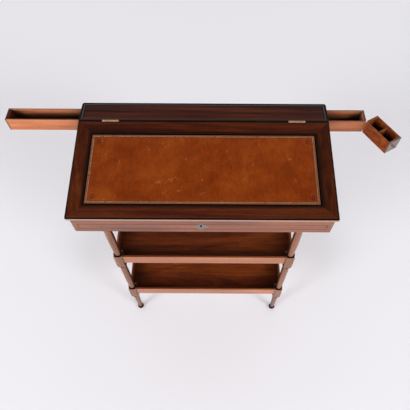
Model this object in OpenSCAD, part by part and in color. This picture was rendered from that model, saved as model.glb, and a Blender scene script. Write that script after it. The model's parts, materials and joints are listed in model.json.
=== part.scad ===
// Slant-front writing desk on a two-shelf stand.
// The lid is shut, both side drawers are drawn out and the ink box is swung to the front.
// Millimetres, +Z up, front towards -Y. The origin is on the floor under the desk's middle.

/* [Overall] */
// Width over the lid and the ledge
desk_w = 700; // [680:5:900]
// Depth from the lid's front edge to the ledge's back edge
desk_d = 358; // [330:1:440]
// Height of the ledge's top above the floor
desk_h = 830; // [780:1:900]

/* [Lid] */
// Drop of the lid's top from the hinge line to the front edge
lid_drop = 49; // [35:1:56]
// Thickness of the lid
lid_t = 15; // [14:0.5:18]
// Width of the lid's stiles and back rail
frame_w = 42; // [34:1:60]
// Width of the lid's front rail
front_rail_w = 39; // [36:1:60]
// Width of the black line round the leather
line_w = 3.8; // [2:0.1:6]
// Thickness of the leather and of the line round it
leather_t = 1.2; // [0.8:0.1:2]
// Width of the black bead on the edges of lid and ledge
bead_w = 3.5; // [3:0.1:5]
// Height of the black bead
bead_h = 5; // [3:0.1:6]
// How far the bead stands out past the board that it edges
bead_out = 1; // [0.5:0.1:1.5]

/* [Case] */
// Height of the case at its back, from its underside to the ledge's top
case_h = 135; // [128:1:170]
// Thickness of the case's side boards
side_t = 10; // [8:0.5:14]
// Thickness of the case's front board
front_t = 16; // [16:0.5:20]
// Thickness of the case's back board
back_t = 8; // [7:0.5:12]
// Thickness of the case's bottom board
bottom_t = 7; // [5:0.5:10]
// How far lid and ledge stand out past the case's sides
side_lip = 2; // [1:0.5:8]
// How far the lid stands out past the case's front
front_lip = 11; // [4:0.5:16]
// How far the ledge stands out past the case's back
back_lip = 3; // [1:0.5:8]
// Radius of the ledge's back corners
ledge_corner_r = 7; // [6:0.5:12]
// Radius of the case's corners
case_corner_r = 6; // [2:0.5:8]
// Side of the glue blocks that hold the leg tenons
glue_block_w = 30; // [24:1:40]
// Height of the glue blocks
glue_block_h = 16; // [12:1:24]

/* [Ledge and drawer tunnel] */
// Depth of the fixed ledge behind the lid
ledge_d = 70; // [62:1:90]
// Thickness of the ledge board
ledge_t = 12; // [12:0.5:16]
// Thickness of the partition between the writing space and the drawers
partition_t = 11; // [8:0.5:14]
// How far the partition stands behind the ledge's front edge
partition_set = 2; // [1.5:0.5:6]
// Thickness of the board that the drawers run on
runner_t = 7; // [5:0.5:10]

/* [Side drawers] */
// Length of each closed side drawer, with the ink box in line on the right
drawer_l = 325; // [260:1:330]
// Height of the side drawers
drawer_h = 42.5; // [32:0.5:44]
// How far the left drawer stands out of the case
left_out = 216.5; // [0:0.5:250]
// How far the right tray stands out of the case
right_out = 113.2; // [20:0.2:150]
// Thickness of the drawer sides
drawer_side_t = 3.6; // [3:0.1:5]
// Thickness of the polished drawer fronts
drawer_front_t = 9; // [7:0.5:12]
// Thickness of the other drawer ends
drawer_end_t = 6; // [5:0.5:8]
// Thickness of the drawer bottoms
drawer_bottom_t = 3; // [2:0.5:4]
// Wood of a drawer end that laps over the ends of the sides
lap_t = 3; // [2:0.5:4]
// Depth of the grooves that hold a board
groove_d = 1.5; // [1:0.1:2]
// Height of a drawer bottom above the drawer's lower edge
bottom_up = 2; // [1:0.5:4]
// Width of the stop that the closed drawers meet in the middle
stop_w = 44; // [20:1:80]
// Height of the stop above the board that the drawers run on
stop_h = 12; // [6:1:30]

/* [Ink box] */
// Length of the ink box
ink_l = 96; // [80:1:120]
// Thickness of the ink box's front
ink_front_t = 6; // [5:0.5:9]
// Thickness of the divider between the two ink wells
divider_t = 3; // [2:0.5:5]
// Angle of the ink box from the line of its tray
ink_swing = 58.8; // [0:0.1:90]
// Radius of the ink box hinge's knuckles
ink_knuckle_r = 1.8; // [1.4:0.1:2.2]
// Radius of the ink box hinge's pin
ink_pin_r = 0.9; // [0.7:0.1:1]
// Length of the ink box hinge
ink_hinge_l = 30; // [20:1:31]
// Width of the ink box hinge's leaves
ink_leaf_w = 13; // [8:0.5:20]
// Thickness of the ink box hinge's leaves
ink_leaf_t = 1; // [0.6:0.1:1.2]

/* [Knobs] */
// Largest diameter of the drawer knobs
knob_d = 9; // [7:0.5:12]
// How far a knob stands out of its drawer front
knob_l = 9; // [7:0.5:14]
// Diameter of a knob's spigot in the drawer front
spigot_d = 4; // [3:0.5:5]

/* [Stand] */
// Distance of the leg axes from the case's sides
leg_in_x = 78; // [20:1:120]
// Distance of the leg axes from the case's front and back
leg_in_y = 23; // [20:1:40]
// Radius of the turned columns at their ends
column_r = 9.6; // [8:0.1:11]
// How much thicker a column is at its top
column_flare = 0.9; // [0:0.1:1]
// Swelling of the turned columns at half their length
column_swell = 1.5; // [0:0.1:2]
// Radius of the leg above its foot
ankle_r = 7.5; // [6:0.1:9]
// Side of the square leg blocks
block_w = 26; // [24:0.5:32]
// Height of the square leg blocks
block_h = 79; // [70:1:100]
// Height of the turned shoulder under each block
shoulder_h = 13; // [5:0.5:16]
// Radius of each block's turned underside
shoulder_r = 11.4; // [10:0.1:13]
// Height of the lower blocks' underside above the floor
lower_block_z = 145; // [100:1:180]
// Height of the upper blocks' underside above the floor
upper_block_z = 425; // [340:1:460]
// Radius of the black ring on top of each block
top_ring_r = 14; // [12.5:0.1:16]
// Radius of the black ring under each block
low_ring_r = 13.9; // [11.2:0.1:15]
// Height of the black rings
ring_h = 3.6; // [2:0.1:5]
// Radius of the feet
foot_r = 11.6; // [9:0.1:15]
// Height of the feet
foot_h = 11; // [8:0.5:16]
// Radius of the tenon on top of each leg
tenon_r = 6; // [4:0.5:7]
// Radius of the foot dowels
dowel_r = 4; // [3:0.5:5]
// Length of the foot dowels
dowel_l = 16; // [8:1:24]

/* [Shelves] */
// Height of the shelf rails
rail_h = 44; // [30:1:56]
// Thickness of the shelf rails
rail_t = 5.5; // [5:0.5:8]
// How far the rails lie behind the faces of the blocks
rail_in = 3; // [1:0.5:6]
// How far the rails' top lies under the blocks' top
rail_down = 3; // [1:0.5:12]
// Thickness of the shelf boards
shelf_t = 7; // [5:0.5:9]
// Height of the shelf boards above the rails' lower edge
shelf_up = 3; // [2:0.5:8]
// How far the tongues on a shelf board's edges lie under its top
tongue_down = 2; // [1:0.5:3]
// Length of the rail tenons
rail_tenon_l = 7; // [4:0.5:8]

/* [Lid hinges] */
// Distance of the lid hinges from the desk's middle
hinge_x = 260; // [150:1:270]
// Length of the lid hinges
hinge_l = 46; // [36:1:60]
// Radius of the hinge knuckles
knuckle_r = 2.6; // [2.6:0.1:3.4]
// Radius of the hinge pins
pin_r = 1.5; // [1:0.1:1.6]
// Height of the hinge leaves, from the pin down
leaf_w = 11; // [10:0.5:11.5]
// Thickness of the hinge leaves
leaf_t = 1.2; // [1:0.1:1.5]
// Gap between the lid's back edge and the ledge
lid_gap = 0.6; // [0.4:0.1:1.2]
// Distance between the hinge screws
screw_pitch = 15; // [11:0.5:15.5]

/* [Screws] */
// Length of the screws
screw_l = 11; // [8:0.5:12]
// Radius of the screw shanks
screw_r = 1.1; // [0.8:0.1:1.3]
// Radius of the screw heads
screw_head_r = 2.2; // [1.8:0.1:2.4]

/* [Lock] */
// How far the lock lies left of the desk's middle
lock_off = 4; // [0:0.5:20]
// Width of the lock
lock_w = 54; // [44:1:70]
// Height of the lock
lock_h = 54; // [48:1:58]
// Depth of the lock in the front board
lock_d = 11; // [10.5:0.5:12]
// Thickness of the lock's plates
lock_plate_t = 1.2; // [1:0.1:1.4]
// Radius of the bolt's nose
bolt_r = 1.2; // [0.8:0.1:1.3]
// Length of the tongue under the lid
tongue_l = 12; // [11:0.5:14]
// Width of the tongue, front to back
tongue_w = 4.8; // [4.4:0.1:5]
// Thickness of the tongue
tongue_t = 4; // [3:0.5:5]
// Travel of the bolt
bolt_travel = 7; // [5:0.5:8]
// Thickness of the shelf that the bolt slides on
bolt_shelf_t = 2; // [1:0.5:3]

/* [Front ornament] */
// Distance of the inlaid line from the case's ends
inlay_in = 16; // [10:1:40]
// Height of the inlaid line above the case's underside
inlay_up = 15.5; // [8:0.5:20]
// Height of the rectangle that the inlaid line makes
inlay_h = 25; // [16:0.5:34]
// Width of the inlaid line
inlay_w = 2.3; // [1:0.1:2.5]
// Thickness of the inlays
inlay_t = 1.2; // [0.8:0.1:1.8]
// Width of the lozenge round the keyhole
lozenge_w = 42; // [30:1:60]
// Height of the lozenge
lozenge_h = 30; // [24:1:36]
// Height of the keyhole's round part above the lozenge's middle
keyhole_up = 6.5; // [0:0.5:8]
// Radius of the keyhole's round part
keyhole_r = 3.1; // [2:0.1:3.5]

/* [Fits] */
// Gap between the shut lid and the case
lid_seat = 0.2; // [0.1:0.1:0.5]
// Side play of the drawers in their tunnel
slide_gap = 1.2; // [0.6:0.1:2]
// Play above the drawers
top_gap = 1; // [0.6:0.1:2]
// Play under the drawers
under_gap = 0.3; // [0.1:0.1:0.5]
// Gap between moving metal parts, also between ink box and tray
part_gap = 0.6; // [0.4:0.1:0.8]
// Radial play of the pins in their knuckles
pin_play = 0.05; // [0.02:0.01:0.1]
// Radial play of screws, dowels and tenons in the wood
fit_play = 0.05; // [0.02:0.01:0.1]
// Gap between a hinge knuckle and the wood or leaf beside it
knuckle_gap = 0.4; // [0.3:0.1:0.6]

/* [Hidden] */

$fn = 48;
big = 2000;
mahogany = "sienna";
dark_mahogany = "brown";
drawer_wood = "peru";
black_wood = [0.12, 0.1, 0.1];
brass = "goldenrod";

// Planes of the case
back_y = desk_d / 2;
front_y = -desk_d / 2;
hinge_y = back_y - ledge_d;
case_w = desk_w - 2 * side_lip;
case_front_y = front_y + front_lip;
case_back_y = back_y - back_lip;
case_z = desk_h - case_h;
inner_front_y = case_front_y + front_t;
inner_back_y = case_back_y - back_t;
inner_w = case_w - 2 * side_t;
ledge_z = desk_h - ledge_t;

// The lid lies in its own frame: its top is z = 0 and its hinge edge is y = 0
lid_a = atan(lid_drop / (desk_d - ledge_d));
lid_l = (desk_d - ledge_d) / cos(lid_a);
field_w = desk_w - 2 * frame_w;
field_front = lid_l - front_rail_w;
pin_y = hinge_y - lid_gap / 2;
pin_z = desk_h;
hinge_knuckles = 5;
ink_knuckles = 3;

// The drawer tunnel under the ledge
tunnel_y = hinge_y + partition_set + partition_t;
drawer_y = tunnel_y + slide_gap;
drawer_w = inner_back_y - tunnel_y - 2 * slide_gap;
drawer_floor_w = drawer_w - 2 * drawer_side_t;
drawer_z = ledge_z - top_gap - drawer_h;
runner_z = drawer_z - under_gap;
tray_l = drawer_l - ink_l - part_gap;
ink_x = case_w / 2 + right_out + part_gap / 2;
ink_y = drawer_y + ink_knuckle_r;
ink_z = drawer_z + drawer_h / 2;
ink_relief_r = (ink_knuckle_r + part_gap / 4) * sqrt(2);
drawer_floor_z = bottom_up + drawer_bottom_t;
divider_down = 2;
knob_collar_r = 0.45 * knob_d;
knob_collar_h = 1;
knob_mid_z = 0.62 * knob_l;
knob_arc = 60;

// The stand
leg_x = case_w / 2 - leg_in_x;
front_leg_y = case_front_y + leg_in_y;
back_leg_y = case_back_y - leg_in_y;
tenon_short = 2;
tenon_l = bottom_t + glue_block_h - tenon_short;
upper_rail_z = upper_block_z + block_h - rail_down - rail_h;
lower_rail_z = lower_block_z + block_h - rail_down - rail_h;
rail_out = block_w / 2 - rail_in;
block_turn_r = 0.72 * block_w;
rail_shoulder = 5;
foot_arc = 60;
rail_tongue_t = rail_t - 2;

// The lock and the tongue that it holds
lock_y = inner_front_y - lock_d;
tongue_play = 1.4;
slot_w = 0.6;
tongue_front_y = lock_y + lock_plate_t + tongue_play;
tongue_y = (tongue_front_y + tongue_w / 2 - hinge_y) / cos(lid_a) - lid_t * tan(lid_a);
eye_up = 4;
eye_play = 0.3;
eye_z = -lid_t - tongue_l + eye_up;
eye_r = bolt_r + eye_play;
bolt_y = hinge_y + tongue_y * cos(lid_a) - eye_z * sin(lid_a);
bolt_z = desk_h + tongue_y * sin(lid_a) + eye_z * cos(lid_a);
lock_top_z = desk_h - lid_t / cos(lid_a) - (hinge_y - inner_front_y) * tan(lid_a);
lock_z = lock_top_z - lock_h;
lock_rim_w = 6;
lock_room_w = lock_w - 2 * lock_rim_w;
lock_head_t = lock_plate_t + 2;
bolt_w = 5;
bolt_h = 6;
nose_root = 1;
bolt_l = lock_room_w / 2 - tongue_t / 2 - 2 * part_gap - bolt_travel - nose_root;
lock_screw_l = 12;
inlay_mid_z = case_z + inlay_up + inlay_h / 2;
keyhole_drop = 9;
keyhole_l = front_t - lock_d + lock_plate_t + 2;
lock_screw_in = 3;
lock_screw_up = 5;
lock_screw_pitch = lock_h - 16;
lock_top_d = front_t - 1.5;
escutcheon_out = 0.2;
link_w = 44;
link_d = 16;
link_t = 1.5;
link_screw_x = 16;
head_h = screw_head_r - screw_r;

// Plain shapes

module board(x0, x1, y0, y1, z0, z1)
    translate([x0, y0, z0]) cube([x1 - x0, y1 - y0, z1 - z0]);

module on_lid()
    translate([0, hinge_y, desk_h]) rotate([lid_a, 0, 0]) children();

// Everything above the plane that lies a distance under the lid's underside
module above_lid_plane(under)
    on_lid() translate([-big / 2, -big / 2, -lid_t - under]) cube([big, big, big]);

module bead_profile()
    intersection() {
        translate([0, -bead_h]) square([bead_w, bead_h]);
        union() {
            translate([0, -bead_h]) square([bead_w - bead_h / 2, bead_h]);
            translate([bead_w - bead_h / 2, -bead_h / 2]) circle(d = bead_h);
        }
    }

// A straight length of bead along X with its nose towards -Y
module bead_bar(l)
    rotate([90, 0, -90]) linear_extrude(l, center = true) bead_profile();

// A quarter of bead from +X to +Y, round a corner of the given radius
module bead_corner(r)
    rotate_extrude(angle = 90) translate([r - bead_w, 0]) bead_profile();

// A rectangle from y0 to y1 whose two corners at y1 are round
module rounded_rectangle(w, y0, y1, r) {
    d = abs(y1 - y0);
    centre_y = y1 - sign(y1 - y0) * r;
    intersection() {
        translate([-w / 2, min(y0, y1)]) square([w, d]);
        union() {
            translate([-w / 2, y1 > y0 ? centre_y - d : centre_y]) square([w, d]);
            translate([r - w / 2, min(y0, y1)]) square([w - 2 * r, d]);
            for (s = [-1, 1]) translate([s * (w / 2 - r), centre_y]) circle(r);
        }
    }
}

// A countersunk screw that points down from z = 0
module screw(l, play = 0) {
    difference() {
        union() {
            translate([0, 0, -head_h])
                cylinder(h = head_h, r1 = screw_r + play, r2 = screw_head_r + play);
            translate([0, 0, -l - play]) cylinder(h = l + play, r = screw_r + play);
        }
        if (play == 0) translate([-big, -slot_w / 2, -slot_w]) cube([2 * big, slot_w, 2 * slot_w]);
    }
}

// One leaf of a butt hinge on a pin along X. It hangs down on the +Y side.
module hinge_leaf(l, r, bore, w, t, gap, count, own)
    difference() {
        union() {
            translate([-l / 2, gap / 2, -w]) cube([l, t, w - r - knuckle_gap]);
            for (i = [0:count - 1]) if (i % 2 == own) translate([l * (i / count - 0.5) + gap / 4, 0, 0]) {
                rotate([0, 90, 0]) cylinder(h = l / count - gap / 2, r = r);
                translate([0, gap / 2, -r - 2 * knuckle_gap])
                    cube([l / count - gap / 2, t, r + 2 * knuckle_gap]);
            }
        }
        translate([-l, 0, 0]) rotate([0, 90, 0]) cylinder(h = 2 * l, r = bore);
    }

// The stand

// A turned column from height z0 to z1, with the given radius at its lower end
module column(z0, z1, r, swell)
    rotate_extrude() polygon(concat([[0, z0]],
        [for (t = [0:1/8:1])
            [r + (column_r + column_flare - r) * t + swell * sin(180 * t), z0 + (z1 - z0) * t]],
        [[0, z1]]));

module ring(z, r)
    translate([0, 0, z]) rotate_extrude() {
        square([r - ring_h / 2, ring_h]);
        translate([r - ring_h / 2, ring_h / 2]) circle(d = ring_h);
    }

// A square block whose corners run out in a turned shoulder at its foot and a small one on top
module leg_block(z)
    translate([0, 0, z]) intersection() {
        translate([-block_w / 2, -block_w / 2, 0]) cube([block_w, block_w, block_h]);
        rotate_extrude() polygon(concat([[0, 0]],
            [for (a = [0:15:90])
                [shoulder_r + (block_turn_r - shoulder_r) * sin(a), shoulder_h * (1 - cos(a))]],
            [for (a = [90:-15:0]) [top_ring_r + (block_turn_r - top_ring_r) * sin(a),
                block_h - 0.5 * shoulder_h * (1 - cos(a))]],
            [[0, block_h]]));
    }

// A leg, drawn as the front left one and turned so that its rails leave to the other legs
module leg(x, y, turn)
    color(mahogany) translate([x, y, 0]) rotate([0, 0, turn]) difference() {
        union() {
            column(foot_h, lower_block_z, ankle_r, 0);
            column(lower_block_z + block_h, upper_block_z, column_r, column_swell);
            column(upper_block_z + block_h, case_z, column_r, column_swell);
            for (z = [lower_block_z, upper_block_z]) {
                leg_block(z);
                ring(z - ring_h, low_ring_r);
                ring(z + block_h, top_ring_r);
            }
            translate([0, 0, case_z]) cylinder(h = tenon_l, r = tenon_r);
        }
        translate([0, 0, foot_h - 1]) cylinder(h = dowel_l + 2, r = dowel_r + fit_play);
        for (z = [lower_rail_z, upper_rail_z]) {
            mortise(z);
            mirror([1, -1, 0]) mortise(z);
        }
    }

// Room for the tenon of the rail that leaves towards +X, near the block's outer face
module mortise(z)
    translate([block_w / 2 - rail_tenon_l, (rail_t - rail_tongue_t) / 2 - rail_out, z + rail_shoulder])
        cube([rail_tenon_l + 1, rail_tongue_t, rail_h - 2 * rail_shoulder]);

// A disc whose edge is an arc of twice the angle foot_arc, with a dowel on top
module foot(x, y)
    translate([x, y, 0]) {
        rotate_extrude() polygon(concat([[0, 0]],
            [for (a = [-foot_arc:foot_arc / 3:foot_arc])
                [foot_r - foot_h * (1 - cos(a)) / 2, foot_h * (1 + sin(a) / sin(foot_arc)) / 2]],
            [[0, foot_h]]));
        translate([0, 0, foot_h]) cylinder(h = dowel_l, r = dowel_r);
    }

module feet()
    color(black_wood)
        for (x = [-leg_x, leg_x], y = [front_leg_y, back_leg_y]) foot(x, y);

// A rail along X or Y between two blocks, with the groove for the shelf board on its inner side
module rail(l, z)
    difference() {
        union() {
            translate([-l / 2, -rail_t, z]) cube([l, rail_t, rail_h]);
            translate([-l / 2 - rail_tenon_l, -rail_t / 2 - rail_tongue_t / 2, z + rail_shoulder])
                cube([l + 2 * rail_tenon_l, rail_tongue_t, rail_h - 2 * rail_shoulder]);
        }
        translate([-l / 2 - 1, -rail_t - 1, z + shelf_up])
            cube([l + 2, 1 + groove_d, shelf_t - tongue_down]);
    }

rail_x_l = 2 * leg_x - block_w;
rail_y_l = back_leg_y - front_leg_y - block_w;
leg_mid_y = (front_leg_y + back_leg_y) / 2;

module front_rail(z)
    color(mahogany) translate([0, front_leg_y - rail_out, 0]) rotate([0, 0, 180]) rail(rail_x_l, z);

module back_rail(z)
    color(mahogany) translate([0, back_leg_y + rail_out, 0]) rail(rail_x_l, z);

module side_rails(z)
    color(mahogany) for (s = [-1, 1])
        translate([s * (leg_x + rail_out), leg_mid_y, 0]) rotate([0, 0, -90 * s]) rail(rail_y_l, z);

// A board between the rails, with a tongue all round in their grooves and its corners cut for the blocks
module shelf_board(z) {
    x1 = leg_x + rail_out - rail_t;
    y0 = front_leg_y - rail_out + rail_t;
    y1 = back_leg_y + rail_out - rail_t;
    z0 = z + shelf_up;
    color(dark_mahogany) difference() {
        union() {
            board(-x1, x1, y0, y1, z0, z0 + shelf_t);
            board(-x1 - groove_d, x1 + groove_d, y0 - groove_d, y1 + groove_d,
                z0, z0 + shelf_t - tongue_down);
        }
        for (x = [-leg_x, leg_x], y = [front_leg_y, back_leg_y])
            translate([x - block_w / 2, y - block_w / 2, z]) cube([block_w, block_w, rail_h]);
    }
}

// The case

module case_front()
    color(mahogany) difference() {
        translate([0, 0, case_z]) linear_extrude(case_h)
            rounded_rectangle(case_w, inner_front_y, case_front_y, case_corner_r);
        above_lid_plane(lid_seat);
        inlay_ring(1);
        at_lock() {
            lozenge(1);
            keyhole();
            lock_shape();
            lock_screws(fit_play);
        }
        tenon_holes();
    }

module case_back()
    color(mahogany) difference() {
        translate([0, 0, case_z]) linear_extrude(case_h - ledge_t)
            rounded_rectangle(case_w, inner_back_y, case_back_y, case_corner_r);
        tenon_holes();
    }

module case_side(s)
    color(mahogany) difference() {
        translate([s * (case_w - side_t) / 2, 0, 0])
            board(-side_t / 2, side_t / 2, inner_front_y, inner_back_y, case_z, ledge_z);
        intersection() {
            above_lid_plane(lid_seat);
            board(-big, big, -big, hinge_y, 0, big);
        }
        board(-big, big, tunnel_y, inner_back_y + 1, runner_z, big);
    }

module case_bottom()
    color(drawer_wood) difference() {
        board(-inner_w / 2, inner_w / 2, inner_front_y, inner_back_y, case_z, case_z + bottom_t);
        tenon_holes();
    }

module tenon_holes()
    for (x = [-leg_x, leg_x], y = [front_leg_y, back_leg_y])
        translate([x, y, case_z - 1]) cylinder(h = tenon_l + 2, r = tenon_r + fit_play);

module glue_blocks()
    color(drawer_wood) difference() {
        for (x = [-leg_x, leg_x], y = [inner_front_y, inner_back_y - glue_block_w])
            translate([x - glue_block_w / 2, y, case_z + bottom_t])
                cube([glue_block_w, glue_block_w, glue_block_h]);
        tenon_holes();
    }

module drawer_runner()
    color(drawer_wood)
        board(-inner_w / 2, inner_w / 2, hinge_y + partition_set, inner_back_y,
            runner_z - runner_t, runner_z);

module drawer_partition()
    color(drawer_wood)
        board(-inner_w / 2, inner_w / 2, hinge_y + partition_set, tunnel_y, runner_z, ledge_z);

module drawer_stop()
    color(drawer_wood)
        board(-stop_w / 2, stop_w / 2, tunnel_y, inner_back_y, runner_z, runner_z + stop_h);

module ledge()
    color(dark_mahogany) difference() {
        union() {
            translate([0, 0, ledge_z]) linear_extrude(ledge_t - bead_h)
                rounded_rectangle(desk_w - 2 * bead_out, hinge_y, back_y - bead_out,
                    ledge_corner_r - bead_out);
            translate([0, 0, desk_h - bead_h]) linear_extrude(bead_h)
                rounded_rectangle(desk_w - 2 * bead_w, hinge_y, back_y - bead_w, ledge_corner_r - bead_w);
        }
        hinge_seats();
    }

module ledge_bead()
    color(black_wood) translate([0, 0, desk_h]) {
        translate([0, back_y - bead_w, 0]) rotate([0, 0, 180]) bead_bar(desk_w - 2 * ledge_corner_r);
        for (s = [-1, 1]) {
            translate([s * (desk_w / 2 - bead_w), (hinge_y + back_y - ledge_corner_r) / 2, 0])
                rotate([0, 0, 90 * s]) bead_bar(ledge_d - ledge_corner_r);
            translate([s * (desk_w / 2 - ledge_corner_r), back_y - ledge_corner_r, 0])
                rotate([0, 0, 45 - 45 * s]) bead_corner(ledge_corner_r);
        }
    }

// The ornament of the front board

module inlay_ring(over) {
    w = case_w - 2 * inlay_in;
    z = case_z + inlay_up;
    difference() {
        board(-w / 2, w / 2, case_front_y - over, case_front_y + inlay_t, z, z + inlay_h);
        board(inlay_w - w / 2, w / 2 - inlay_w, case_front_y - big, big,
            z + inlay_w, z + inlay_h - inlay_w);
    }
}

module front_inlay()
    color(black_wood) difference() {
        inlay_ring(0);
        at_lock() lozenge(1);
    }

module lozenge(over)
    translate([0, case_front_y + inlay_t, inlay_mid_z])
        rotate([90, 0, 0]) linear_extrude(inlay_t + over)
            polygon([[-lozenge_w / 2, 0], [0, -lozenge_h / 2], [lozenge_w / 2, 0], [0, lozenge_h / 2]]);

module keyhole()
    translate([0, case_front_y - 1, inlay_mid_z + keyhole_up]) rotate([-90, 0, 0]) {
        cylinder(h = keyhole_l, r = keyhole_r);
        translate([-keyhole_r / 2, 0, 0]) cube([keyhole_r, keyhole_drop, keyhole_l]);
    }

module escutcheon()
    color("ivory") at_lock() difference() {
        lozenge(escutcheon_out);
        keyhole();
    }

// The lock

module at_lock()
    translate([-lock_off, 0, 0]) children();

module lock_shape() {
    board(-lock_w / 2, lock_w / 2, lock_y, inner_front_y, lock_z, lock_z + lock_h);
    intersection() {
        board(-lock_w / 2, lock_w / 2, inner_front_y - lock_top_d, inner_front_y, lock_z, desk_h);
        above_lid_plane(lid_seat + lock_plate_t);
    }
}

module lock_screws(play)
    for (x = [-1, 1], z = [0, 1])
        translate([x * (lock_w / 2 - lock_screw_in), inner_front_y,
            lock_z + lock_screw_up + z * lock_screw_pitch])
                rotate([-90, 0, 0]) screw(lock_screw_l, play);

module lock_case()
    color(brass) at_lock() difference() {
        lock_shape();
        above_lid_plane(lid_seat);
        lock_room(lock_z + lock_plate_t, bolt_z - bolt_h / 2 - lid_seat - bolt_shelf_t);
        lock_room(bolt_z - bolt_h / 2 - lid_seat, lock_z + lock_h - lock_head_t);
        board(-tongue_t / 2 - part_gap, tongue_t / 2 + part_gap, lock_y + lock_plate_t,
            inner_front_y - lock_plate_t, bolt_z - bolt_h, big);
        keyhole();
        lock_screws(fit_play);
    }

// Room in the lock, over its whole width
module lock_room(z0, z1)
    board(-lock_room_w / 2, lock_room_w / 2, lock_y + lock_plate_t, inner_front_y - lock_plate_t, z0, z1);

// The bolt, drawn back. Its nose goes through the tongue's eye when it moves towards -X.
module lock_bolt()
    color(brass) at_lock() translate([tongue_t / 2 + part_gap, bolt_y, bolt_z]) {
        rotate([0, 90, 0]) cylinder(h = bolt_travel + 2 * nose_root, r = bolt_r);
        translate([bolt_travel + nose_root, -bolt_w / 2, -bolt_h / 2]) cube([bolt_l, bolt_w, bolt_h]);
    }

module link_plate()
    color(brass) at_lock() on_lid() difference() {
        union() {
            translate([-link_w / 2, tongue_y - link_d / 2, -lid_t]) cube([link_w, link_d, link_t]);
            translate([-tongue_t / 2, tongue_y - tongue_w / 2, -lid_t - tongue_l])
                cube([tongue_t, tongue_w, tongue_l + link_t / 2]);
        }
        translate([-big, tongue_y, eye_z]) rotate([0, 90, 0]) cylinder(h = 2 * big, r = eye_r);
        link_screws(fit_play);
    }

module link_screws(play)
    for (x = [-link_screw_x, link_screw_x])
        translate([x, tongue_y, -lid_t]) rotate([180, 0, 0]) screw(screw_l, play);

// Hinges of the lid

module lid_hinge_leaf(own)
    hinge_leaf(hinge_l, knuckle_r, pin_r + pin_play, leaf_w, leaf_t, lid_gap, hinge_knuckles, own);

// Three screws at each lid hinge, towards +Y for s = 1 and towards -Y for s = -1
module hinge_screws(s, play)
    for (x = [-hinge_x, hinge_x], i = [-1:1])
        translate([x + i * screw_pitch, pin_y + s * lid_gap / 2, pin_z - (leaf_w + knuckle_r) / 2])
            rotate([90 * s, 0, 0]) screw(screw_l, play);

module at_hinges()
    for (x = [-hinge_x, hinge_x]) translate([x, pin_y, pin_z]) children();

module hinge_case_leaves()
    color(brass) difference() {
        at_hinges() lid_hinge_leaf(0);
        hinge_screws(1, fit_play);
    }

module hinge_lid_leaves()
    color(brass) difference() {
        at_hinges() mirror([0, 1, 0]) lid_hinge_leaf(1);
        hinge_screws(-1, fit_play);
    }

module hinge_pins()
    color(brass) at_hinges()
        translate([-hinge_l / 2, 0, 0]) rotate([0, 90, 0]) cylinder(h = hinge_l, r = pin_r);

// What the hinges take out of the ledge and the lid
module hinge_seats() {
    at_hinges() {
        translate([-hinge_l / 2 - knuckle_gap, 0, 0]) rotate([0, 90, 0])
            cylinder(h = hinge_l + 2 * knuckle_gap, r = knuckle_r + knuckle_gap);
        translate([-hinge_l / 2, -lid_gap / 2 - leaf_t, -leaf_w])
            cube([hinge_l, lid_gap + 2 * leaf_t, leaf_w]);
    }
    for (s = [-1, 1]) hinge_screws(s, fit_play);
}

module case_screws()
    color(brass) {
        hinge_screws(1, 0);
        at_lock() lock_screws(0);
    }

module lid_screws()
    color(brass) {
        hinge_screws(-1, 0);
        at_lock() on_lid() link_screws(0);
    }

// The lid

// A part of the lid: a shape in the lid's frame, cut upright at the hinge line
module lid_part()
    difference() {
        on_lid() children();
        board(-big, big, pin_y - lid_gap / 2, big, 0, big);
        hinge_seats();
    }

module lid_slab(z0, z1)
    translate([0, 0, z0]) linear_extrude(z1 - z0) children();

module field(grow)
    translate([-field_w / 2 - grow, -field_front - grow])
        square([field_w + 2 * grow, field_front - frame_w + 2 * grow]);

// One mitred member of the lid's frame, with the rebate for the bead
module lid_member(points)
    lid_part() difference() {
        lid_slab(-lid_t, 0) polygon(points);
        lid_slab(-bead_h, 1) difference() {
            translate([-big / 2, -big / 2]) square(big);
            translate([bead_w - desk_w / 2, bead_w - lid_l])
                square([desk_w - 2 * bead_w, lid_l - 2 * bead_w]);
        }
    }

lid_edge_x = desk_w / 2 - bead_out;
lid_edge_y = bead_out - lid_l;

module lid_front_rail()
    color(dark_mahogany) difference() {
        lid_member([[-lid_edge_x, lid_edge_y], [lid_edge_x, lid_edge_y],
            [field_w / 2, -field_front], [-field_w / 2, -field_front]]);
        at_lock() on_lid() {
            translate([-link_w / 2, tongue_y - link_d / 2, -lid_t - 1])
                cube([link_w, link_d, link_t + 1]);
            link_screws(fit_play);
        }
    }

module lid_back_rail()
    color(dark_mahogany) lid_member([[-lid_edge_x, 0], [lid_edge_x, 0],
        [field_w / 2, -frame_w], [-field_w / 2, -frame_w]]);

module lid_stile(s)
    color(dark_mahogany) lid_member([[s * lid_edge_x, lid_edge_y], [s * lid_edge_x, 0],
        [s * field_w / 2, -frame_w], [s * field_w / 2, -field_front]]);

module lid_panel()
    color(drawer_wood) on_lid() lid_slab(-lid_t, -leather_t) field(0);

module writing_leather()
    color("chocolate") on_lid() lid_slab(-leather_t, 0) field(-line_w);

module leather_line()
    color(black_wood) on_lid() lid_slab(-leather_t, 0) difference() {
        field(0);
        field(-line_w);
    }

module lid_bead()
    color(black_wood) lid_part() translate([0, -lid_l / 2, 0])
        for (i = [0:3]) {
            l = i % 2 == 0 ? desk_w : lid_l;
            d = i % 2 == 0 ? lid_l : desk_w;
            rotate([0, 0, 90 * i]) translate([0, bead_w - d / 2, 0]) {
                bead_bar(l - 2 * bead_w);
                translate([l / 2 - bead_w, 0, 0]) rotate([0, 0, -90]) bead_corner(bead_w);
            }
        }

// Drawers: local x runs inwards from the outer face, y is the width and z the height

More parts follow.
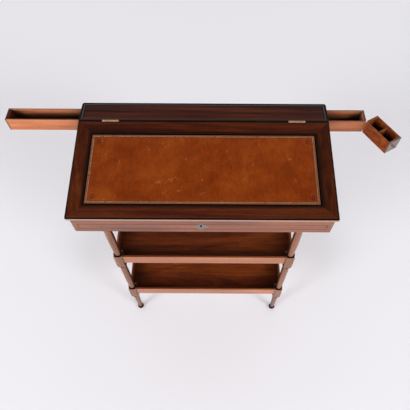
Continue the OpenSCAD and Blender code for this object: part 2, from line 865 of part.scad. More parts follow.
module drawer_end(x, t, s)
    difference() {
        translate([x, 0, 0]) cube([t, drawer_w, drawer_h]);
        for (y = [-1, drawer_w - drawer_side_t])
            translate([x + (s > 0 ? lap_t : -1), y, -1])
                cube([t - lap_t + 1, drawer_side_t + 1, drawer_h + 2]);
        translate([x + (s > 0 ? t - groove_d : -1), drawer_side_t - groove_d, bottom_up])
            cube([groove_d + 1, drawer_floor_w + 2 * groove_d, drawer_bottom_t]);
    }

module drawer_sides(l)
    difference() {
        for (y = [0, drawer_w - drawer_side_t])
            translate([lap_t, y, 0]) cube([l - 2 * lap_t, drawer_side_t, drawer_h]);
        translate([0, drawer_side_t - groove_d, bottom_up])
            cube([l, drawer_floor_w + 2 * groove_d, drawer_bottom_t]);
    }

module drawer_bottom(l, t0, t1)
    translate([t0 - groove_d, drawer_side_t - groove_d, bottom_up])
        cube([l - t0 - t1 + 2 * groove_d, drawer_floor_w + 2 * groove_d, drawer_bottom_t]);

// A turned knob on the outer face, pointing to -x
module knob(front_t, play = 0)
    translate([0, drawer_w / 2, drawer_h / 2]) rotate([0, -90, 0]) {
        translate([0, 0, 1 - front_t - play]) cylinder(h = front_t + play, d = spigot_d + 2 * play);
        if (play == 0) rotate_extrude() polygon(concat(
            [[0, 0], [knob_collar_r, 0], [knob_collar_r, knob_collar_h]],
            [for (a = [-knob_arc:knob_arc / 4:90])
                [max(cos(a), 0) * knob_d / 2, knob_mid_z + (knob_l - knob_mid_z) * sin(a)]]));
    }

module drawer_front(t)
    difference() {
        drawer_end(0, t, 1);
        knob(t, fit_play);
    }

module left_drawer()
    translate([-case_w / 2 - left_out, drawer_y, drawer_z]) children();

// The right tray's outer face is at its hinge, where the ink box begins
module right_tray()
    translate([ink_x - part_gap / 2, drawer_y, drawer_z]) mirror([1, 0, 0]) children();

// The ink box turns about the hinge pin. In line it would follow the tray.
module ink_box()
    translate([ink_x, ink_y, drawer_z]) rotate([0, 0, -ink_swing])
        translate([part_gap / 2 + ink_l, -ink_knuckle_r, 0]) mirror([1, 0, 0]) children();

module left_drawer_front() color(dark_mahogany) left_drawer() drawer_front(drawer_front_t);
module left_drawer_sides() color(drawer_wood) left_drawer() drawer_sides(drawer_l);
module left_drawer_end()
    color(drawer_wood) left_drawer() drawer_end(drawer_l - drawer_end_t, drawer_end_t, -1);
module left_drawer_bottom()
    color(drawer_wood) left_drawer() drawer_bottom(drawer_l, drawer_front_t, drawer_end_t);
module left_drawer_knob() color("ivory") left_drawer() knob(drawer_front_t);

module right_tray_outer_end()
    color(drawer_wood) difference() {
        right_tray() drawer_end(0, drawer_end_t, 1);
        ink_hinge_seat();
    }

module right_tray_sides() color(drawer_wood) right_tray() drawer_sides(tray_l);
module right_tray_inner_end()
    color(drawer_wood) right_tray() drawer_end(tray_l - drawer_end_t, drawer_end_t, -1);
module right_tray_bottom()
    color(drawer_wood) right_tray() drawer_bottom(tray_l, drawer_end_t, drawer_end_t);

module ink_box_front() color(dark_mahogany) ink_box() drawer_front(ink_front_t);
module ink_box_sides() color(drawer_wood) ink_box() drawer_sides(ink_l);

module ink_box_end()
    color(drawer_wood) difference() {
        ink_box() drawer_end(ink_l - drawer_end_t, drawer_end_t, -1);
        ink_swung() ink_hinge_seat();
    }

module ink_box_bottom() color(drawer_wood) ink_box() drawer_bottom(ink_l, ink_front_t, drawer_end_t);
module ink_box_knob() color("ivory") ink_box() knob(ink_front_t);

module ink_box_divider()
    color(drawer_wood) ink_box()
        translate([(ink_l + ink_front_t - drawer_end_t - divider_t) / 2, drawer_side_t, drawer_floor_z])
            cube([divider_t, drawer_floor_w, drawer_h - drawer_floor_z - divider_down]);

// Hinge of the ink box, on an upright pin

module ink_swung()
    translate([ink_x, ink_y, 0]) rotate([0, 0, -ink_swing]) translate([-ink_x, -ink_y, 0]) children();

module ink_hinge_seat()
    translate([ink_x, ink_y, ink_z]) {
        translate([0, 0, -drawer_h]) cylinder(h = 2 * drawer_h, r = ink_relief_r);
        translate([-part_gap / 2 - ink_leaf_t, 0, -ink_hinge_l / 2])
            cube([part_gap + 2 * ink_leaf_t, ink_leaf_w, ink_hinge_l]);
    }

module ink_leaf(own)
    hinge_leaf(ink_hinge_l, ink_knuckle_r, ink_pin_r + pin_play, ink_leaf_w, ink_leaf_t,
        part_gap, ink_knuckles, own);

module tray_hinge_leaf()
    color(brass) translate([ink_x, ink_y, ink_z]) rotate([90, -90, 0]) ink_leaf(0);

module ink_box_hinge_leaf()
    color(brass) ink_swung() translate([ink_x, ink_y, ink_z]) rotate([90, -90, 0])
        mirror([0, 1, 0]) ink_leaf(1);

module ink_hinge_pin()
    color(brass) translate([ink_x, ink_y, ink_z - ink_hinge_l / 2])
        cylinder(h = ink_hinge_l, r = ink_pin_r);

leg(-leg_x, front_leg_y, 0);  // front_left_leg
leg(leg_x, front_leg_y, 90);  // front_right_leg
leg(-leg_x, back_leg_y, 270);  // back_left_leg
leg(leg_x, back_leg_y, 180);  // back_right_leg
feet();
shelf_board(upper_rail_z);  // upper_shelf_board
front_rail(upper_rail_z);  // upper_shelf_front_rail
back_rail(upper_rail_z);  // upper_shelf_back_rail
side_rails(upper_rail_z);  // upper_shelf_side_rails
shelf_board(lower_rail_z);  // lower_shelf_board
front_rail(lower_rail_z);  // lower_shelf_front_rail
back_rail(lower_rail_z);  // lower_shelf_back_rail
side_rails(lower_rail_z);  // lower_shelf_side_rails
case_front();
case_back();
case_side(-1);  // case_left_side
case_side(1);  // case_right_side
case_bottom();
glue_blocks();
drawer_runner();
drawer_partition();
drawer_stop();
ledge();
ledge_bead();
front_inlay();
escutcheon();
lock_case();
lock_bolt();
case_screws();
hinge_case_leaves();
hinge_pins();
hinge_lid_leaves();
lid_front_rail();
lid_back_rail();
lid_stile(-1);  // lid_left_stile
lid_stile(1);  // lid_right_stile
lid_panel();
writing_leather();
leather_line();
lid_bead();
link_plate();
lid_screws();
left_drawer_front();
left_drawer_sides();
left_drawer_end();
left_drawer_bottom();
left_drawer_knob();
right_tray_outer_end();
right_tray_sides();
right_tray_inner_end();
right_tray_bottom();
tray_hinge_leaf();
ink_hinge_pin();
ink_box_front();
ink_box_sides();
ink_box_end();
ink_box_bottom();
ink_box_divider();
ink_box_knob();
ink_box_hinge_leaf();
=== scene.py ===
import json
import math

import bmesh
import bpy
from mathutils import Matrix, Vector


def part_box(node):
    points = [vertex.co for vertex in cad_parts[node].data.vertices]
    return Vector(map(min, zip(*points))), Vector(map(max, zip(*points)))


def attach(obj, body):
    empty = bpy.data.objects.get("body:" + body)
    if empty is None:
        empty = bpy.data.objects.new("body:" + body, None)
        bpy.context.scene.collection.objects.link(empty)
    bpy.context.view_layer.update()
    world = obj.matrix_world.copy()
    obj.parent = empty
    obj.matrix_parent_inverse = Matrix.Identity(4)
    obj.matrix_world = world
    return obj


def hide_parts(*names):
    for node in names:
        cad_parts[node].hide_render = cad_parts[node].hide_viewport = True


# A slant-front writing desk, dressed on its fixed frame. Settings are in millimetres.
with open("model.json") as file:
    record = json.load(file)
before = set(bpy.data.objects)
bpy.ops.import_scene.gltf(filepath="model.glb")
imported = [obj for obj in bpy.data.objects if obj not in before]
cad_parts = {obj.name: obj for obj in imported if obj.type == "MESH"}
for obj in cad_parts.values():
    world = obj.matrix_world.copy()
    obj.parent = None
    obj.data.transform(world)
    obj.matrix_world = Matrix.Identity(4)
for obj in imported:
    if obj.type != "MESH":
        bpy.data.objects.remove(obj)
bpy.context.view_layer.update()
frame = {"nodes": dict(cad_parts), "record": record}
nodes = frame["nodes"]
record = frame["record"]
bodyOf = {name: body for body, names in record["behaviour"]["bodies"].items() for name in names}
mm = 0.001


# Adds a node with its settings, and links the sockets that are given as values
def addNode(tree, kind, sockets=None, **settings):
    node = tree.nodes.new(kind)
    for name, value in settings.items():
        setattr(node, name, value)
    for key, value in (sockets or {}).items():
        if isinstance(value, bpy.types.NodeSocket):
            tree.links.new(value, node.inputs[key])
        else:
            node.inputs[key].default_value = value
    return node


# An sRGB colour in Blender's linear numbers
def linear(hexText):
    channels = [int(hexText[i:i + 2], 16) / 255 for i in (1, 3, 5)]
    return [c / 12.92 if c <= 0.04045 else ((c + 0.055) / 1.055) ** 2.4 for c in channels] + [1.0]


def addObject(name, data):
    thing = bpy.data.objects.new(name, data)
    bpy.context.scene.collection.objects.link(thing)
    return thing


def startMaterial(name):
    material = bpy.data.materials.new(name)
    material.use_nodes = True
    material.node_tree.nodes.clear()
    return material, material.node_tree


def closeMaterial(tree, sockets):
    shader = addNode(tree, "ShaderNodeBsdfPrincipled", sockets)
    addNode(tree, "ShaderNodeOutputMaterial", {"Surface": shader.outputs["BSDF"]})


# The camera stands in front of the desk and looks steeply down on it
cameraPlace = {
    "x": 30.9, "y": -709.2, "z": 1708.1,   # mm
    "lookDown": 58.25, "roll": 0.32,       # degrees
    "imageSize": 410, "focalLength": 421.85, "middleX": 214.26,  # pixels
    "sensor": 36.0,
}


def makeCamera(place):
    data = bpy.data.cameras.new("camera")
    data.sensor_width = place["sensor"]
    data.lens = place["focalLength"] * place["sensor"] / place["imageSize"]
    data.shift_x = -(place["middleX"] - place["imageSize"] / 2) / place["imageSize"]
    camera = addObject("camera", data)
    spot = Matrix.Translation(Vector((place["x"], place["y"], place["z"])) * mm)
    tilt = Matrix.Rotation(math.radians(90 - place["lookDown"]), 4, "X")
    roll = Matrix.Rotation(math.radians(place["roll"]), 4, "Z")
    camera.matrix_world = spot @ tilt @ roll
    bpy.context.scene.camera = camera


makeCamera(cameraPlace)

# Soft light from low down all round, two far lamps in front, and near darkness overhead
studio = {
    "floorColour": "#e4e2e7", "floorRoughness": 0.9,
    "floorSize": 60.0,                    # m
    "lampPlace": (6.3, -5.1, 4.5),        # m, mirrored for the left lamp
    "lampAim": (0, 0, 0.4),               # m
    "lampSize": 3.0,                      # m
    "lampPower": 370.0,                   # W
    "roomLow": 2.26, "roomHigh": 0.02,    # strength near the horizon and overhead
    "bandTop": 26.0, "darkFrom": 43.0,    # degrees above the horizon
}


def makeLamp(name, place, target, size, power):
    data = bpy.data.lights.new(name, "AREA")
    data.shape = "DISK"
    data.size = size
    data.energy = power
    lamp = addObject(name, data)
    aim = (Vector(target) - Vector(place)).to_track_quat("-Z", "Y")
    lamp.matrix_world = Matrix.Translation(place) @ aim.to_matrix().to_4x4()


def makeStudio(values):
    half = values["floorSize"] / 2
    mesh = bpy.data.meshes.new("floor")
    corners = [(-half, -half, 0), (half, -half, 0), (half, half, 0), (-half, half, 0)]
    mesh.from_pydata(corners, [], [(0, 1, 2, 3)])
    floor = addObject("floor", mesh)
    paper, tree = startMaterial("backgroundPaper")  # matt seamless paper
    closeMaterial(tree, {
        "Base Color": linear(values["floorColour"]), "Roughness": values["floorRoughness"]})
    mesh.materials.append(paper)
    aside, forward, up = values["lampPlace"]
    for name, side in (("lampLeft", -1), ("lampRight", 1)):
        makeLamp(name, (side * aside, forward, up), values["lampAim"], values["lampSize"],
                 values["lampPower"])
    world = bpy.data.worlds.new("room")
    bpy.context.scene.world = world
    world.use_nodes = True
    tree = world.node_tree
    tree.nodes.clear()
    direction = addNode(tree, "ShaderNodeTexCoord")
    height = addNode(tree, "ShaderNodeSeparateXYZ", {"Vector": direction.outputs["Generated"]})
    strength = addNode(tree, "ShaderNodeMapRange", {
        "Value": height.outputs["Z"], "From Min": math.sin(math.radians(values["bandTop"])),
        "From Max": math.sin(math.radians(values["darkFrom"])),
        "To Min": values["roomLow"], "To Max": values["roomHigh"]}, interpolation_type="SMOOTHSTEP")
    background = addNode(tree, "ShaderNodeBackground", {
        "Color": (1, 1, 1, 1), "Strength": strength.outputs["Result"]})
    addNode(tree, "ShaderNodeOutputWorld", {"Surface": background.outputs["Background"]})


makeStudio(studio)
bpy.context.scene.view_settings.view_transform = "Standard"
print("studio and camera made")


# Each wood is cut across noises stretched along its grain: broad figure, streaks and fine pores
woodGrain = {
    "figure": {"Detail": 4.0, "Roughness": 0.55, "Distortion": 0.8},
    "streak": {"Detail": 3.0, "Roughness": 0.6},
    "pores": {"Detail": 1.0},
    # Noise levels
    "figureFrom": (0.34, 0.66), "streakFrom": (0.35, 0.65), "poreFrom": (0.36, 0.46),
    "roughFrom": (0.3, 0.7), "roughSpread": (-0.06, 0.08),
    "reliefDepth": 0.2,  # mm
    "ior": 1.5,
}


# Noise stretched along an axis, with its length and width in mm
def grainNoise(tree, place, axis, size, settings):
    along, across = size
    scale = [1 / ((along if letter == axis else across) * mm) for letter in "XYZ"]
    at = addNode(tree, "ShaderNodeMapping", {"Vector": place.outputs["Object"], "Scale": scale})
    sockets = {"Vector": at.outputs["Vector"], "Scale": 1.0} | settings
    return addNode(tree, "ShaderNodeTexNoise", sockets).outputs["Fac"]


def makeWood(name, axis, look):
    material, tree = startMaterial(name)
    place = addNode(tree, "ShaderNodeTexCoord")
    noise = {kind: grainNoise(tree, place, axis, look[kind][:2], woodGrain[kind])
             for kind in ("figure", "streak", "pores")}
    broad = addNode(tree, "ShaderNodeValToRGB", {"Fac": noise["figure"]})
    stops = broad.color_ramp.elements
    for end, level, tone in zip(stops, woodGrain["figureFrom"], ("dark", "light")):
        end.position, end.color = level, linear(look[tone])
    stops.new(0.5).color = linear(look["middle"])
    low, high = woodGrain["streakFrom"]
    streakShare = addNode(tree, "ShaderNodeMapRange", {
        "Value": noise["streak"], "From Min": low, "From Max": high,
        "To Min": 1 - look["streak"][2], "To Max": 1 + look["streak"][2]})
    streaked = addNode(tree, "ShaderNodeVectorMath", {
        0: broad.outputs["Color"], "Scale": streakShare.outputs["Result"]}, operation="SCALE")
    low, high = woodGrain["poreFrom"]
    poreShare = addNode(tree, "ShaderNodeMapRange", {
        "Value": noise["pores"], "From Min": low, "From Max": high,
        "To Min": look["pores"][2], "To Max": 0.0})
    pored = addNode(tree, "ShaderNodeMix", {
        "Factor": poreShare.outputs["Result"], "A": streaked.outputs["Vector"],
        "B": linear(look["pore"])}, data_type="RGBA")
    colour = pored.outputs["Result"]
    if "bands" in look:
        colour = ledgeBands(tree, place, colour, look["bands"])
    tones = []
    # The inward tone is painted shade; the margin is old polish and dust
    for kind, shareOf in (("margin", marginShare), ("inwardShade", inwardShadeShare)):
        if kind in look:
            tones.append((shareOf(tree, place, look[kind]), look[kind]["tone"]))
    # Painted shade or painted reflection on faces that look one way
    for direction, hexText, share in look.get("facingLightTones", ()):
        tones.append((facingLightShare(tree, place, direction, share), hexText))
    tones.append((wornShare(tree, place), look["worn"]))
    # Painted shade in nooks and corners
    if "nookShade" in look:
        tones.append((nookShadeShare(tree, look["nookShade"]), look["nookShade"]["tone"]))
    for share, hexText in tones:
        colour = addNode(tree, "ShaderNodeMix", {
            "Factor": share, "A": colour, "B": linear(hexText)}, data_type="RGBA").outputs["Result"]
    low, high = woodGrain["roughFrom"]
    smoother, rougher = woodGrain["roughSpread"]
    rough = addNode(tree, "ShaderNodeMapRange", {
        "Value": noise["streak"], "From Min": low, "From Max": high,
        "To Min": look["roughness"] + smoother, "To Max": look["roughness"] + rougher})
    relief = addNode(tree, "ShaderNodeMath", {0: noise["streak"], 1: poreShare.outputs["Result"]},
                     operation="SUBTRACT")
    bump = addNode(tree, "ShaderNodeBump", {
        "Height": relief.outputs["Value"], "Strength": look["relief"],
        "Distance": woodGrain["reliefDepth"] * mm})
    closeMaterial(tree, {
        "Base Color": colour, "Roughness": rough.outputs["Result"],
        "Normal": bump.outputs["Normal"], "IOR": woodGrain["ior"],
        "Specular IOR Level": look["gloss"], "Coat Weight": look["polish"],
        "Coat Roughness": look["polishRoughness"]})
    return material


# Painted shade: darker where a surface is boxed in, from ambient occlusion within reach
nookSamples = 6


def nookShadeShare(tree, nookShade):
    nook = addNode(tree, "ShaderNodeAmbientOcclusion", {"Distance": nookShade["reach"] * mm},
                   samples=nookSamples)
    share = addNode(tree, "ShaderNodeMapRange", {
        "Value": nook.outputs["AO"], "From Min": nookShade["full"], "From Max": nookShade["none"],
        "To Min": nookShade["share"], "To Max": 0.0})
    return share.outputs["Result"]


# Edges that hands and cloths have rubbed are paler where the noise is high
edgeWear = {"patch": 22.0, "detail": 5.0, "roughness": 0.65, "from": (0.42, 0.62),
            "share": (0.1, 0.8)}


def wornShare(tree, place):
    edge = addNode(tree, "ShaderNodeAttribute", attribute_name="edgeWear")
    noise = addNode(tree, "ShaderNodeTexNoise", {
        "Vector": place.outputs["Object"], "Scale": 1 / (edgeWear["patch"] * mm),
        "Detail": edgeWear["detail"], "Roughness": edgeWear["roughness"]})
    low, high = edgeWear["from"]
    least, most = edgeWear["share"]
    share = addNode(tree, "ShaderNodeMapRange", {
        "Value": noise.outputs["Fac"], "From Min": low, "From Max": high,
        "To Min": least, "To Max": most})
    factor = addNode(tree, "ShaderNodeMath", {0: edge.outputs["Fac"], 1: share.outputs["Result"]},
                     operation="MULTIPLY")
    return factor.outputs["Value"]


# Painted light: another tone on the faces that look one way, painted shade on the tops of rails,
# rims and the ink box, and a painted reflection on the lid's front edge
facingFrom = (0.85, 0.97)  # cosines of the widest and the narrowest angle to that way


def facingLightShare(tree, place, direction, share):
    facing = addNode(tree, "ShaderNodeVectorMath", {0: place.outputs["Normal"], 1: direction},
                     operation="DOT_PRODUCT")
    factor = addNode(tree, "ShaderNodeMapRange", {
        "Value": facing.outputs["Value"], "From Min": facingFrom[0], "From Max": facingFrom[1],
        "To Min": 0.0, "To Max": share})
    return factor.outputs["Result"]


# A point's distance to the left or right of the desk's middle, and its place from front to back
def placeFromMiddle(tree, place):
    parts = addNode(tree, "ShaderNodeSeparateXYZ", {"Vector": place.outputs["Object"]})
    aside = addNode(tree, "ShaderNodeMath", {0: parts.outputs["X"]}, operation="ABSOLUTE")
    return aside.outputs["Value"], parts.outputs["Y"]


# Old polish and dust darken the lid's frame beside the leather
def marginShare(tree, place, margin):
    aside, depth = placeFromMiddle(tree, place)
    pairs = ((aside, margin["halfWidth"] * mm), (depth, margin["back"] * mm),
             (margin["front"] * mm, depth))
    beyondEnd, beyondBack, beyondFront = [
        addNode(tree, "ShaderNodeMath", {0: far, 1: near}, operation="SUBTRACT").outputs["Value"]
        for far, near in pairs]
    along = addNode(tree, "ShaderNodeMath", {0: beyondBack, 1: beyondFront}, operation="MAXIMUM")
    distance = addNode(tree, "ShaderNodeMath", {0: beyondEnd, 1: along.outputs["Value"]},
                       operation="MAXIMUM")
    share = addNode(tree, "ShaderNodeMapRange", {
        "Value": distance.outputs["Value"], "From Min": margin["full"] * mm,
        "From Max": margin["none"] * mm, "To Min": margin["share"], "To Max": 0.0},
        interpolation_type="SMOOTHSTEP")
    return share.outputs["Result"]


# Painted shade: a darker tone on faces that look towards the desk's middle, where light seldom
# reaches
def inwardShadeShare(tree, place, inwardShade):
    level = addNode(tree, "ShaderNodeVectorMath", {0: place.outputs["Object"], 1: (1, 1, 0)},
                    operation="MULTIPLY")
    outward = addNode(tree, "ShaderNodeVectorMath", {0: level.outputs["Vector"]},
                      operation="NORMALIZE")
    facing = addNode(tree, "ShaderNodeVectorMath", {
        0: place.outputs["Normal"], 1: outward.outputs["Vector"]}, operation="DOT_PRODUCT")
    factor = addNode(tree, "ShaderNodeMapRange", {
        "Value": facing.outputs["Value"], "From Min": inwardShade["none"], "From Max": inwardShade["full"],
        "To Min": 0.0, "To Max": inwardShade["share"]})
    return factor.outputs["Result"]


# Bands of other tones, each from its distance to an edge
def bandTone(tree, colour, distance, reach, bands):
    stops = addNode(tree, "ShaderNodeMapRange", {
        "Value": distance, "From Min": 0.0, "From Max": reach * mm})
    ramp = addNode(tree, "ShaderNodeValToRGB", {"Fac": stops.outputs["Result"]})
    ramp.color_ramp.interpolation = "CONSTANT"
    spots = ramp.color_ramp.elements
    for place, (start, hexText, share) in enumerate(bands):
        spot = spots[place] if place < 2 else spots.new(start / reach)
        spot.position = start / reach
        spot.color = linear(hexText)[:3] + [share]
    mixed = addNode(tree, "ShaderNodeMix", {
        "Factor": ramp.outputs["Alpha"], "A": colour, "B": ramp.outputs["Color"]}, data_type="RGBA")
    return mixed.outputs["Result"]


# Bands on the ledge's top: black along the bead, a grey band that is a painted reflection off the
# bead's sloping inner side, and a dark line inside
def ledgeBands(tree, place, colour, bands):
    aside, depth = placeFromMiddle(tree, place)
    pairs = ((bands["halfWidth"] * mm, aside), (bands["back"] * mm, depth),
             (depth, bands["front"] * mm))
    fromEnd, fromBack, fromFront = [
        addNode(tree, "ShaderNodeMath", {0: far, 1: near}, operation="SUBTRACT").outputs["Value"]
        for far, near in pairs]
    fromEdge = addNode(tree, "ShaderNodeMath", {0: fromEnd, 1: fromBack}, operation="MINIMUM")
    colour = bandTone(tree, colour, fromEdge.outputs["Value"], bands["reach"], bands["atEdge"])
    return bandTone(tree, colour, fromFront, bands["reach"], bands["atFront"])


# Each look gives its colours, then the length and width in mm of figure, streaks and pores, with the
# depth of the last two, then its finish

# French polished mahogany, dark and glossy: broad ribbon figure under a deep coat
darkPolish = {
    "dark": "#2a0e07", "middle": "#42190c", "light": "#5e2a12", "pore": "#140705", "worn": "#7a3d22",
    "figure": (420, 30), "streak": (160, 4.2, 0.28), "pores": (16, 1.1, 0.35),
    "roughness": 0.4, "relief": 0.2, "gloss": 0.08, "polish": 0.3, "polishRoughness": 0.06,
}
# The lid's frame, darkened beside the leather; its front rail's edge under the bead has a painted
# pale reflection
leatherMargin = {"halfWidth": 308.0, "back": 67.6, "front": -140.6, "full": 1.5, "none": 12.0,
                 "tone": "#120703", "share": 0.88}
backRailPolish = dict(darkPolish, dark="#2c1007", middle="#411809", light="#54260f",
                      margin=leatherMargin)
lidFrontPolish = dict(darkPolish, dark="#3f190d", middle="#4b200f", light="#572811",
                      margin=leatherMargin, facingLightTones=(((0, -1, 0), "#a58878", 0.75),))
stilePolish = dict(darkPolish, dark="#2e1107", middle="#421a08", light="#57270d",
                   margin=leatherMargin)
rightStilePolish = dict(stilePolish, dark="#260d05", middle="#391607", light="#4c210b")
# The ledge, banded in black, with a grey band of painted reflection
ledgePolish = dict(darkPolish, dark="#1f0a05", middle="#351207", light="#4a1f0b", bands={
    "halfWidth": 350.0, "back": 179.0, "front": 109.0, "reach": 40.0,
    "atEdge": ((0.0, "#060404", 1.0), (6.5, "#4c4345", 0.75), (9.6, "#140805", 0.9),
               (14.0, "#3f170a", 0.0)),
    "atFront": ((0.0, "#080605", 1.0), (4.2, "#35251b", 0.7), (11.0, "#3f170a", 0.0)),
})
# The same timber, faded by light on the front and the legs
fadedPolish = {
    "dark": "#5f311d", "middle": "#723d25", "light": "#854a2e", "pore": "#3c1e0e", "worn": "#a87858",
    "figure": (380, 34), "streak": (140, 4.0, 0.16), "pores": (14, 1.1, 0.35),
    "roughness": 0.38, "relief": 0.3, "gloss": 0.3, "polish": 0.45, "polishRoughness": 0.12,
}
# The shelf rails, paler and more orange outside, with painted shade on their tops, on faces towards
# the middle and in nooks
railPolish = dict(fadedPolish, dark="#824929", middle="#945731", light="#a6653c",
                  worn="#90583a", facingLightTones=(((0, 0, 1), "#6b2f0e", 0.9),),
                  inwardShade={"none": 0.2, "full": -0.3, "tone": "#2c1207", "share": 0.92},
                  nookShade={"reach": 70.0, "full": 0.35, "none": 0.72, "tone": "#2a1006", "share": 0.8})
# The legs, greyer, with painted shade on the side towards the shelves and in nooks
legPolish = dict(fadedPolish, dark="#623d28", middle="#764a33", light="#87573e", gloss=0.24,
                 polish=0.2, polishRoughness=0.3,
                 inwardShade={"none": -0.3, "full": -0.65, "tone": "#30140a", "share": 0.92},
                 nookShade={"reach": 60.0, "full": 0.3, "none": 0.7, "tone": "#2c120a", "share": 0.7})
# Shelf boards: darker and redder, their polish dulled by use, with painted shade near their ends and
# rails
shelfPolish = {
    "dark": "#46190a", "middle": "#632a0d", "light": "#7e3c14", "pore": "#220c05", "worn": "#8c5030",
    "figure": (300, 60), "streak": (150, 5.0, 0.22), "pores": (16, 1.2, 0.35),
    "roughness": 0.42, "relief": 0.3, "gloss": 0.1, "polish": 0.2, "polishRoughness": 0.12,
    "nookShade": {"reach": 110.0, "full": 0.5, "none": 0.95, "tone": "#180904", "share": 0.75},
}
# The upper shelf's board, darker still: painted shade from the case above
upperShelfShadedPolish = dict(shelfPolish, dark="#3a1408", middle="#54230b", light="#6c3210")
# Cedar of the drawers: pale pinkish brown, thinly waxed, with dark rims from painted shade on their
# tops, and painted shade deep inside
cedar = {
    "dark": "#9a5a38", "middle": "#b26c46", "light": "#c48058", "pore": "#7a4024", "worn": "#c09070",
    "figure": (300, 16), "streak": (120, 2.6, 0.14), "pores": (12, 0.9, 0.3),
    "roughness": 0.52, "relief": 0.35, "gloss": 0.25, "polish": 0.05, "polishRoughness": 0.3,
    "facingLightTones": (((0, 0, 1), "#432414", 0.9),),
    "nookShade": {"reach": 42.0, "full": 0.5, "none": 0.68, "tone": "#150803", "share": 0.97},
}
# The sides of the right tray, browner than the left drawer's, with less painted shade inside
trayCedar = dict(cedar, dark="#84492c", middle="#985937", light="#a96b47",
                 nookShade=dict(cedar["nookShade"], full=0.38, none=0.6))
# Mahogany of the ink box, darker and more orange than the cedar
inkMahogany = {
    "dark": "#5c260e", "middle": "#7a3814", "light": "#924a1c", "pore": "#3a160a", "worn": "#a86c40",
    "figure": (120, 14), "streak": (60, 2.4, 0.2), "pores": (10, 0.9, 0.35),
    "roughness": 0.42, "relief": 0.3, "gloss": 0.2, "polish": 0.2, "polishRoughness": 0.2,
    "facingLightTones": (((0, 0, 1), "#6b3a20", 0.7),),
}
# The ink box's front: mahogany greyed as a painted reflection of the pale surroundings
greySheenPolish = dict(fadedPolish, dark="#513c35", middle="#604b42", light="#6f594d")
# Drawer and ink box bottoms, nearly black brown
nearBlackCedar = {
    "dark": "#090403", "middle": "#0e0704", "light": "#170c07", "pore": "#060302", "worn": "#2a170e",
    "figure": (200, 40), "streak": (90, 4.0, 0.25), "pores": (12, 1.0, 0.3),
    "roughness": 0.7, "relief": 0.35, "gloss": 0.15, "polish": 0.0, "polishRoughness": 0.3,
}
# Plain planed wood inside the case, unpolished
planedWood = {
    "dark": "#7e5434", "middle": "#936642", "light": "#a87a54", "pore": "#4e3220", "worn": "#b48c68",
    "figure": (320, 24), "streak": (120, 3.2, 0.15), "pores": (12, 1.0, 0.35),
    "roughness": 0.68, "relief": 0.4, "gloss": 0.3, "polish": 0.0, "polishRoughness": 0.3,
}
# Dark stained stringing let into the front
stringing = {
    "dark": "#24100a", "middle": "#34190f", "light": "#452416", "pore": "#140a06", "worn": "#54301f",
    "figure": (200, 8), "streak": (60, 1.4, 0.15), "pores": (8, 0.6, 0.3),
    "roughness": 0.42, "relief": 0.2, "gloss": 0.2, "polish": 0.2, "polishRoughness": 0.18,
}
# Ebonised pear wood: stained black, closed pores, its polish worn satin
ebonised = {
    "dark": "#030202", "middle": "#050404", "light": "#080606", "pore": "#020202", "worn": "#2a1a12",
    "figure": (200, 12), "streak": (80, 2.0, 0.3), "pores": (10, 0.7, 0.3),
    "roughness": 0.48, "relief": 0.15, "gloss": 0.04, "polish": 0.0, "polishRoughness": 0.15,
}

woodLooks = dict(
    darkPolish=darkPolish, backRailPolish=backRailPolish, lidFrontPolish=lidFrontPolish,
    stilePolish=stilePolish, rightStilePolish=rightStilePolish, ledgePolish=ledgePolish,
    fadedPolish=fadedPolish, railPolish=railPolish, legPolish=legPolish, shelfPolish=shelfPolish,
    upperShelfShadedPolish=upperShelfShadedPolish, cedar=cedar, trayCedar=trayCedar, inkMahogany=inkMahogany,
    greySheenPolish=greySheenPolish, nearBlackCedar=nearBlackCedar, planedWood=planedWood, stringing=stringing,
    ebonised=ebonised)
woods = {}


def wood(kind, axis):
    key = kind + axis
    if key not in woods:
        woods[key] = makeWood(key, axis, woodLooks[kind])
    return woods[key]


# Old brass: dull yellow with brown tarnish in patches
oldBrass = {"bright": "#bd9f84", "dull": "#735f50", "patch": 6.0, "roughness": 0.42,
            "metallic": 1.0, "gloss": 0.5}
# The lock: brass painted nearly black inside the front board, as painted shade seen through the
# keyhole
lockShadeBrass = dict(oldBrass, bright="#1c1613", dull="#0c0a09", patch=9.0, roughness=0.6)
# How the patches of tarnish or wear lie on brass, gold and hide
patches = {"detail": 6.0, "noise": 0.7, "from": (0.42, 0.68), "share": 0.85,
           "roughFrom": (0.3, 0.7), "roughSpread": (-0.12, 0.15), "relief": 0.2, "reliefDepth": 0.1}


def makePatched(name, values):
    material, tree = startMaterial(name)
    place = addNode(tree, "ShaderNodeTexCoord")
    noise = addNode(tree, "ShaderNodeTexNoise", {
        "Vector": place.outputs["Object"], "Scale": 1 / (values["patch"] * mm),
        "Detail": patches["detail"], "Roughness": patches["noise"]})
    low, high = patches["from"]
    share = addNode(tree, "ShaderNodeMapRange", {
        "Value": noise.outputs["Fac"], "From Min": low, "From Max": high,
        "To Min": 0.0, "To Max": patches["share"]})
    colour = addNode(tree, "ShaderNodeMix", {
        "Factor": share.outputs["Result"], "A": linear(values["bright"]),
        "B": linear(values["dull"])}, data_type="RGBA")
    low, high = patches["roughFrom"]
    smoother, rougher = patches["roughSpread"]
    rough = addNode(tree, "ShaderNodeMapRange", {
        "Value": noise.outputs["Fac"], "From Min": low, "From Max": high,
        "To Min": values["roughness"] + smoother, "To Max": values["roughness"] + rougher})
    bump = addNode(tree, "ShaderNodeBump", {
        "Height": noise.outputs["Fac"], "Strength": patches["relief"],
        "Distance": patches["reliefDepth"] * mm})
    closeMaterial(tree, {
        "Base Color": colour.outputs["Result"], "Metallic": values["metallic"],
        "Specular IOR Level": values["gloss"], "Roughness": rough.outputs["Result"],
        "Normal": bump.outputs["Normal"]})
    return material


